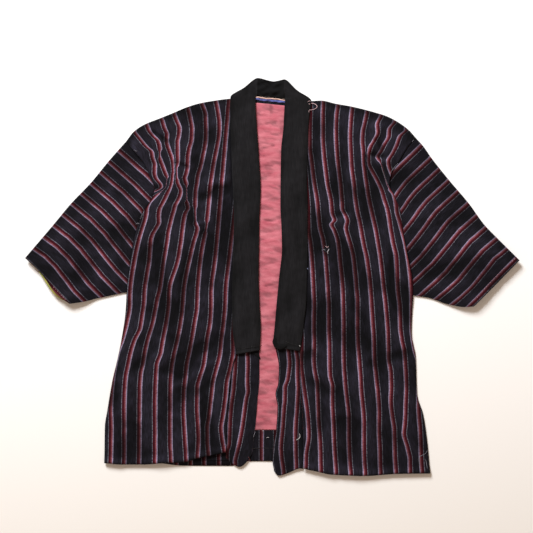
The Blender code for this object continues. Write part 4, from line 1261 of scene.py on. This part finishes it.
def stripedCotton():
    # handwoven cotton: near-black ground with a fine crepe, maroon, rose and lavender stripes
    look = stripedLook
    made = newMaterial("striped cotton")
    uv = clothUv(made)
    across = addNode(made, "ShaderNodeSeparateXYZ", links={"Vector": uv}).outputs["X"]
    wander = noise(made, stretch(made, uv, (0.7, 1.1, 1.0)), 1.0, 2.0)
    shake = noise(made, stretch(made, uv, (3.0, 9.0, 1.0)), 1.0, 2.0)
    shift = sums(made, "MULTIPLY", sums(made, "SUBTRACT", wander, 0.5), look["wobble"])
    shift = sums(made, "ADD", shift, sums(made, "MULTIPLY", sums(made, "SUBTRACT", shake, 0.5), 0.03))
    place = sums(made, "ADD", across, sums(made, "ADD", shift, 0.5))
    fraction = sums(made, "FRACT", place)
    # threads crosswise, drawn coarser than life so that they show
    ticks = noise(made, stretch(made, uv, (5.0, 15.0, 1.0)), 1.0, 2.0, 0.7)
    grain = noise(made, stretch(made, uv, (26.0, 2.2, 1.0)), 1.0, 3.0, 0.65)
    mottle = noise(made, stretch(made, uv, (0.9, 0.7, 1.0)), 1.0, 3.0, 0.6)
    ground = mixed(
        made,
        ramp(made, grain, [(0.36, 0.0), (0.68, 1.0)]),
        colour(look["ground"]),
        colour(look["groundLight"]),
    )
    ground = mixed(made, 0.6, ground, ramp(made, mottle, [(0.3, 0.45), (0.75, 1.25)]), "MULTIPLY")
    black = (0.0, 0.0, 0.0, 1.0)
    stripes = ramp(
        made,
        fraction,
        [
            (0.0, black),
            (0.372, black),
            (0.384, colour(look["maroon"])),
            (0.495, colour(look["maroon"])),
            (0.550, colour(look["brick"])),
            (0.590, colour(look["brick"])),
            (0.630, colour(look["lavender"])),
            (0.668, colour(look["lavender"])),
            (0.688, black),
        ],
    )
    stripeMask = ramp(made, fraction, [(0.0, 0.0), (0.370, 0.0), (0.382, 1.0), (0.672, 1.0), (0.688, 0.0)])
    lineMask = ramp(made, fraction, [(0.0, 0.0), (0.312, 0.0), (0.326, 1.0), (0.346, 1.0), (0.360, 0.0)])
    # the pale line is a float that dips under the crosswise threads now and then
    beat = noise(made, stretch(made, uv, (1.0, 11.0, 1.0)), 1.0, 2.0, 0.6)
    beat = ramp(made, beat, [(0.36, 0.15), (0.5, 0.75), (0.66, 1.0)])
    tickLight = ramp(made, ticks, [(0.3, 0.55), (0.7, 1.3)])
    stripes = mixed(made, 1.0, stripes, tickLight, "MULTIPLY")
    base = mixed(made, stripeMask, ground, stripes)
    dash = sums(made, "MULTIPLY", sums(made, "MULTIPLY", lineMask, beat), 0.85)
    base = mixed(made, dash, base, colour(look["hairline"]))
    base = wornThrough(made, base)
    # painted shade in the creases and painted highlight on the crests
    base = paintedReliefShade(made, base, [(0.0, 0.34), (0.35, 0.78), (0.65, 1.02), (1.0, 1.5)])
    height = sums(made, "ADD", sums(made, "MULTIPLY", grain, 0.6), sums(made, "MULTIPLY", ticks, 0.6))
    settings = {"Roughness": 0.9, "Specular IOR Level": 0.1, "Sheen Weight": 0.03, "Sheen Roughness": 0.5}
    return finishMaterial(made, base, height, settings, {"Strength": 0.35, "Distance": 0.0006})


def collarCotton():
    # plain black cotton gone dull, with fine ribs along the band
    made = newMaterial("black collar cotton")
    uv = clothUv(made)
    ribs = noise(made, stretch(made, uv, (30.0, 1.2, 1.0)), 1.0, 3.0, 0.6)
    soft = noise(made, stretch(made, uv, (1.6, 0.6, 1.0)), 1.0, 3.0, 0.6)
    base = mixed(made, ramp(made, ribs, [(0.35, 0.0), (0.7, 1.0)]), colour("#121113"), colour("#1e1d1f"))
    base = mixed(made, 0.5, base, ramp(made, soft, [(0.3, 0.6), (0.7, 1.2)]), "MULTIPLY")
    # painted shade in the creases and painted highlight on the crests
    base = paintedReliefShade(made, base, [(0.0, 0.4), (0.3, 0.8), (1.0, 1.25)])
    settings = {"Roughness": 0.93, "Specular IOR Level": 0.1, "Sheen Weight": 0.03, "Sheen Roughness": 0.6}
    return finishMaterial(made, base, ribs, settings, {"Strength": 0.3, "Distance": 0.0005})


def dyedCotton(name, pale, deep, fine, blotch=(0.8, 2.4), creases=(0.86, 1.12)):
    # thin plain cotton, its colour uneven between deep and pale; on the blue piping the pale streaks are
    # painted satin highlights
    made = newMaterial(name)
    uv = clothUv(made)
    weave = noise(made, stretch(made, uv, (fine, fine * 0.7, 1.0)), 1.0, 3.0, 0.7)
    soft = noise(made, stretch(made, uv, (blotch[0], blotch[1], 1.0)), 1.0, 4.0, 0.6)
    base = mixed(made, ramp(made, soft, [(0.3, 0.0), (0.72, 1.0)]), colour(deep), colour(pale))
    base = mixed(made, 0.35, base, ramp(made, weave, [(0.3, 0.6), (0.7, 1.25)]), "MULTIPLY")
    # painted shade in the creases and painted highlight on the crests
    base = paintedReliefShade(made, base, [(0.0, creases[0]), (0.4, 1.0), (1.0, creases[1])])
    facts = {"Roughness": 0.88, "Specular IOR Level": 0.25, "Sheen Weight": 0.15, "Sheen Roughness": 0.5}
    return finishMaterial(made, base, weave, facts, {"Strength": 0.3, "Distance": 0.0006})


def threadMaterial(name, hexCode):
    # loose cotton thread, a little uneven along its length
    made = newMaterial(name)
    place = addNode(made, "ShaderNodeTexCoord").outputs["Object"]
    uneven = noise(made, place, 400.0, 2.0)
    shade = ramp(made, uneven, [(0.3, 0.7), (0.7, 1.15)])
    base = mixed(made, 1.0, colour(hexCode), shade, "MULTIPLY")
    return finishMaterial(made, base, None, {"Roughness": 0.8, "Sheen Weight": 0.2}, {})


def floorMaterial():
    # matt paper, with painted shade: a touch darker and warmer towards the bottom of the picture, away
    # from the window light
    made = newMaterial("pale paper floor")
    place = addNode(made, "ShaderNodeTexCoord").outputs["Object"]
    parts = addNode(made, "ShaderNodeSeparateXYZ", links={"Vector": place})
    down = sums(made, "ADD", sums(made, "MULTIPLY", parts.outputs["Y"], 0.8), 0.5)
    base = ramp(made, down, [(0.0, colour("#eee9e3")), (0.5, colour("#fdfcfb")), (1.0, colour("#ffffff"))])
    return finishMaterial(made, base, None, {"Roughness": 0.9, "Specular IOR Level": 0.1}, {})


# Sewing, threads and the worn place

def treeOf(piece):
    return BVHTree.FromPolygons(
        [vertex.co.copy() for vertex in piece.data.vertices],
        [tuple(face.vertices) for face in piece.data.polygons],
    )


def onCloth(trees, pixels, above):
    # points on the cloth under a path in the photograph, a little above it
    path = []
    for pixelX, pixelY in pixels:
        x, y = fromPhoto(pixelX, pixelY)
        start = Vector(((x - middle["x"]) * mm, (y - middle["y"]) * mm, 0.1))
        hits = [tree.ray_cast(start, Vector((0, 0, -1)))[0] for tree in trees]
        height = max([hit.z for hit in hits if hit is not None] or [0.001])
        path.append(Vector((start.x, start.y, height + above * mm)))
    return path


def evenPath(path, step):
    # the same path in short even steps, its corners rounded
    points = np.array([tuple(point) for point in path])
    run = np.concatenate([[0], np.cumsum(np.linalg.norm(np.diff(points, axis=0), axis=1))])
    at = np.linspace(0, run[-1], max(3, int(run[-1] / (step * mm))))
    even = np.stack([readCurve(run, points[:, axis], at) for axis in range(3)], -1)
    return [Vector(point) for point in even]


def tube(name, path, radii, material, sides=7, flat=1.0):
    # a closed tube along a path, its radius changing from end to end, flattened by a share
    rings = []
    faces = []
    for i, point in enumerate(path):
        before = path[max(i - 1, 0)]
        after = path[min(i + 1, len(path) - 1)]
        along = (after - before).normalized()
        across = along.cross(Vector((0, 0, 1))).normalized()
        up = across.cross(along)
        radius = float(np.interp(i / (len(path) - 1), np.linspace(0, 1, len(radii)), radii)) * mm
        for k in range(sides):
            angle = 2 * math.pi * k / sides
            rings.append(point + radius * (math.cos(angle) * across + flat * math.sin(angle) * up))
    for i in range(len(path) - 1):
        for k in range(sides):
            n = (k + 1) % sides
            faces.append((i * sides + k, i * sides + n, (i + 1) * sides + n, (i + 1) * sides + k))
    faces.append(tuple(range(sides - 1, -1, -1)))
    last = (len(path) - 1) * sides
    faces.append(tuple(range(last, last + sides)))
    points = np.array([tuple(point) for point in rings]) / mm
    points[:, 0] += middle["x"]
    points[:, 1] += middle["y"]
    uv = points[:, :2] / cloth["stripePitch"]
    return meshFrom(name, points, faces, uv, material)


# name, tint, radius and height above the cloth in millimetres, and its path in photo pixels
looseThreads = [
    ("neckLoop", "pink", 0.55, 0.8, [(307.7, 102.4), (309.4, 101.3), (311.3, 103.6), (308.9, 104.6),
        (311.2, 103.4), (315.3, 104.6), (317.0, 107.0), (315.3, 109.0), (312.2, 110.1), (309.0, 110.6),
        (308.8, 113.0)]),
    ("hemCrescent", "white", 0.8, 0.7, [(299.5, 433.4), (300.0, 436.0), (298.9, 438.2), (296.4, 439.7)]),
    ("ventThread", "grey", 0.45, 0.5, [(427.3, 450.2), (424.9, 453.3), (421.9, 454.9), (419.5, 456.2),
        (418.7, 458.4), (419.1, 465), (419.7, 471.5)]),
    ("ventDash", "grey", 0.45, 0.5, [(425.3, 459), (426.2, 463.5), (426.9, 468)]),
    ("shoulderThread", "grey", 0.35, 0.3, [(397.6, 163.4), (393.8, 168), (389.2, 174.4)]),
    ("shoulderTick", "grey", 0.35, 0.3, [(411.6, 142.2), (412.7, 141.0), (413.8, 139.9)]),
    ("shoulderHair", "grey", 0.3, 0.3, [(379.2, 160), (381.4, 168), (384.6, 177), (387, 184.4)]),
    ("holeRag", "rag", 1.1, 0.8, [(328.9, 248.9), (328.3, 250.6), (327.5, 252.0), (327.9, 254.0)]),
    ("holeHair", "grey", 0.5, 0.4, [(321.6, 250.6), (323.4, 249.4), (325.6, 250.2)]),
    ("holeFray", "pink", 0.4, 0.4, [(325.4, 246.2), (327.2, 247.4), (328.6, 246.3)]),
    ("blueFleck", "blue", 0.7, 0.3, [(307.2, 268.0), (307.7, 268.8), (308.1, 269.6)]),
    ("armholeThreadA", "grey", 0.4, 0.5, [(134.6, 150.2), (136, 151.3), (137.8, 151.5)]),
    ("armholeThreadB", "grey", 0.5, 0.5, [(136.0, 224.2), (137.8, 223.3), (139.6, 223.9)]),
    ("armholeThreadC", "grey", 0.35, 0.5, [(143.6, 212.4), (142.2, 215.4), (140.5, 219)]),
    ("gorePin", "white", 0.9, 0.3, [(299.4, 345.2), (299.9, 345.9), (300.1, 346.6)]),
    ("liningPin", "white", 0.6, 0.3, [(262.7, 430.4), (263.2, 430.9), (263.8, 431.2)]),
    ("facingPin", "white", 0.7, 0.3, [(266.7, 437.6), (267.9, 437.2), (269.1, 437.5)]),
    ("facingEdge", "grey", 0.5, 0.3, [(255.3, 431.3), (254.3, 434), (253.4, 437.0)]),
    ("facingRed", "red", 0.9, 0.3, [(248.6, 456.6), (249.7, 459.2), (250.7, 461.8)]),
]
threadTints = {
    "pink": "#e0b9bd", "white": "#b9b6b6", "rag": "#98949a",
    "grey": "#84818b", "blue": "#8a93b8", "red": "#6e1d25",
}

# the turned corners below the collar's two ends: name, height above the cloth, radii, path
collarTurns = [
    ("rightTurn", 1.7, [2.4, 5.0, 5.6, 4.6, 2.2], [(274.6, 337.4), (274.6, 341.2), (276.6, 344.8),
        (280.6, 347.0), (286.4, 345.2)]),
    ("leftTurn", 0.9, [1.4, 2.8, 2.8, 0.9], [(252.4, 352.0), (255.6, 353.8), (258.2, 356.0),
        (260.2, 358.9)]),
]
turnFlat = 0.28  # how thick a turned corner is for its width

# name, tint, height above the cloth, spacing, length and thickness in millimetres, path in photo pixels
stitchRows = [
    ("leftCollarHem", "#0b0b0c", 0.15, 3.6, 2.4, 0.8, [(237.6, 349.6), (246, 347.9), (255, 346.4),
        (261.4, 345.6)]),
    ("rightCollarHem", "#0b0b0c", 0.15, 3.6, 2.4, 0.8, [(286.4, 341.4), (293, 344.2), (300.6, 345.0)]),
    ("facingHem", "#190d12", 0.25, 3.4, 2.4, 0.9, [(252.5, 448.4), (262, 447.8), (272, 448.2)]),
    ("liningSlip", "#a8515e", 0.15, 6.2, 2.6, 0.7, [(256, 428.6), (264, 428.9), (273, 429)]),
    ("leftCuffWhip", "#a2717c", 0.1, 5.6, 3.2, 1.1, [(36, 269.8), (44, 276.4), (55, 287.4), (66, 299)]),
    ("rightCuffWhip", "#a2717c", 0.1, 5.6, 3.2, 1.1, [(513.4, 259.2), (500, 271.4), (487, 285),
        (476.4, 297.2)]),
]
stitchSeed = 5


def stitchTree():
    # short capped stitches set along a drawn path
    tree = bpy.data.node_groups.new("row of stitches", "GeometryNodeTree")
    face = tree.interface
    face.new_socket("Geometry", in_out="INPUT", socket_type="NodeSocketGeometry")
    for label, start in (("Spacing", 0.004), ("Length", 0.0025), ("Thickness", 0.0008)):
        face.new_socket(label, in_out="INPUT", socket_type="NodeSocketFloat").default_value = start
    face.new_socket("Seed", in_out="INPUT", socket_type="NodeSocketInt").default_value = stitchSeed
    face.new_socket("Thread", in_out="INPUT", socket_type="NodeSocketMaterial")
    face.new_socket("Geometry", in_out="OUTPUT", socket_type="NodeSocketGeometry")
    nodes = tree.nodes
    given = nodes.new("NodeGroupInput")
    made = nodes.new("NodeGroupOutput")
    curve = nodes.new("GeometryNodeMeshToCurve")
    places = nodes.new("GeometryNodeCurveToPoints")
    places.mode = "LENGTH"
    stitch = nodes.new("GeometryNodeMeshCylinder")
    stitch.inputs["Vertices"].default_value = 6
    radius = nodes.new("ShaderNodeMath")
    radius.operation = "MULTIPLY"
    radius.inputs[1].default_value = 0.5
    turned = nodes.new("FunctionNodeAlignRotationToVector")
    turned.axis = "Z"
    put = nodes.new("GeometryNodeInstanceOnPoints")
    chance = nodes.new("FunctionNodeRandomValue")
    chance.data_type = "FLOAT"
    chance.inputs[2].default_value = 0.7
    chance.inputs[3].default_value = 1.15
    real = nodes.new("GeometryNodeRealizeInstances")
    dress = nodes.new("GeometryNodeSetMaterial")
    for source, output, target, entry in (
        (given, "Geometry", curve, "Mesh"),
        (curve, "Curve", places, "Curve"),
        (given, "Spacing", places, "Length"),
        (given, "Length", stitch, "Depth"),
        (given, "Thickness", radius, 0),
        (radius, 0, stitch, "Radius"),
        (places, "Tangent", turned, "Vector"),
        (places, "Points", put, "Points"),
        (stitch, "Mesh", put, "Instance"),
        (turned, "Rotation", put, "Rotation"),
        (given, "Seed", chance, "Seed"),
        (chance, 1, put, "Scale"),
        (put, "Instances", real, "Geometry"),
        (real, "Geometry", dress, "Geometry"),
        (given, "Thread", dress, "Material"),
        (dress, "Geometry", made, "Geometry"),
    ):
        tree.links.new(source.outputs[output], target.inputs[entry])
    return tree


def stitched(name, path, tree, sizes, material):
    data = bpy.data.meshes.new(name + "Path")
    data.from_pydata([tuple(point) for point in path], [(i, i + 1) for i in range(len(path) - 1)], [])
    guide = newObject(name + "Path", data)
    modifier = guide.modifiers.new("stitches", "NODES")
    modifier.node_group = tree
    wanted = {**sizes, "Seed": stitchSeed, "Thread": material}
    for socket in tree.interface.items_tree:
        if socket.in_out == "INPUT" and socket.name in wanted:
            modifier[socket.identifier] = wanted[socket.name]
    evaluated = guide.evaluated_get(bpy.context.evaluated_depsgraph_get())
    plain = bpy.data.meshes.new_from_object(evaluated)
    bpy.data.objects.remove(guide)
    return newObject(name, plain)


# Building the jacket

striped = stripedCotton()
collarCloth = collarCotton()
pinkCotton = dyedCotton("pink cotton lining", "#cd7b86", "#b05462", 26.0, (0.8, 2.4), (0.5, 1.14))
salmonCotton = dyedCotton("salmon piping cotton", "#dcb8ab", "#c99a8a", 20.0)
# the pale blue streaks are painted satin highlights on the dark navy
blueCotton = dyedCotton("blue piping cotton", "#6a72ba", "#17153c", 20.0, (2.6, 5.0), (0.6, 1.3))
greenCotton = dyedCotton("yellow green cotton", "#b0a458", "#8a9348", 20.0)


def settle(piece, node, slotName):
    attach(piece, "root")
    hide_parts(node)
    return piece


pieces = []
for half in (leftHalf, rightHalf):
    name = half["name"]
    body = settle(bodyHalf(half, striped), name + "_body", "striped_cotton")
    goreCloth = settle(gore(half, striped), name + "_gore", "striped_cotton")
    sleeveCloth = settle(sleeve(half, striped), name + "_sleeve", "striped_cotton")
    pieces += [body, goreCloth, sleeveCloth]
    print(name, "half built")

band = settle(collarBand(collarCloth), "collar", "collar_cotton")
inside = settle(lining(pinkCotton), "back_lining", "pink_lining")
hem = settle(facing(striped), "hem_facing", "striped_cotton")
salmon = settle(piping("salmon", salmonCotton), "neck_piping_salmon", "salmon_piping")
blue = settle(piping("blue", blueCotton), "neck_piping_blue", "blue_piping")
green = settle(cuffLining(greenCotton), "left_cuff_lining", "green_lining")
pieces += [band, inside, hem]
print("collar, lining and trims built")

trees = [treeOf(piece) for piece in pieces]
threads = {tint: threadMaterial(tint + " cotton thread", code) for tint, code in threadTints.items()}
for name, above, radii, pixels in collarTurns:
    path = evenPath(onCloth(trees, pixels, above), 1.0)
    piece = tube(name, path, radii, collarCloth, 16, turnFlat)
    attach(piece, "root")
for name, tint, radius, above, pixels in looseThreads:
    path = evenPath(onCloth(trees, pixels, above), 0.8)
    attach(tube(name, path, [0.6 * radius, radius, 0.5 * radius], threads[tint]), "root")
rowTree = stitchTree()
for name, tint, above, spacing, length, thick, pixels in stitchRows:
    thread = threadMaterial(name + " sewing thread", tint)
    path = evenPath(onCloth(trees, pixels, above), 2.0)
    sizes = {"Spacing": spacing * mm, "Length": length * mm, "Thickness": thick * mm}
    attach(stitched(name, path, rowTree, sizes, thread), "root")
print("stitches and threads laid")


# Floor, light and camera

def floor():
    data = bpy.data.meshes.new("floor")
    reach = 4.0
    corners = [(-reach, -reach, 0), (reach, -reach, 0), (reach, reach, 0), (-reach, reach, 0)]
    data.from_pydata(corners, [], [(0, 1, 2, 3)])
    data.materials.append(floorMaterial())
    newObject("floor", data)


lights = [
    {"name": "window", "x": -1.7, "y": 3.4, "z": 2.7, "size": 1.7, "power": 345.0, "colour": "#f8fcff"},
    {"name": "fill", "x": 1.2, "y": -1.8, "z": 2.6, "size": 2.4, "power": 9.0, "colour": "#fff4ea"},
]


def addLight(light):
    data = bpy.data.lights.new(light["name"], "AREA")
    data.size = light["size"]
    data.energy = light["power"]
    data.color = colour(light["colour"])[:3]
    made = newObject(light["name"], data)
    made.location = (light["x"], light["y"], light["z"])
    made.rotation_euler = (-made.location).to_track_quat("-Z", "Y").to_euler()


def addCamera():
    data = bpy.data.cameras.new("overhead")
    data.sensor_width = camera["sensor"]
    data.lens = camera["sensor"] * camera["height"] / camera["span"]
    data.dof.use_dof = False
    made = newObject("overhead", data)
    made.location = (camera["x"], camera["y"], camera["height"])
    bpy.context.scene.camera = made


room = {"colour": "#ffe2c8", "strength": 0.34}

floor()
for light in lights:
    addLight(light)
addCamera()
world = bpy.data.worlds.new("pale room")
world.use_nodes = True
background = world.node_tree.nodes["Background"]
background.inputs["Color"].default_value = colour(room["colour"])
background.inputs["Strength"].default_value = room["strength"]
bpy.context.scene.world = world
bpy.context.scene.view_settings.view_transform = "Standard"

print("scene done")
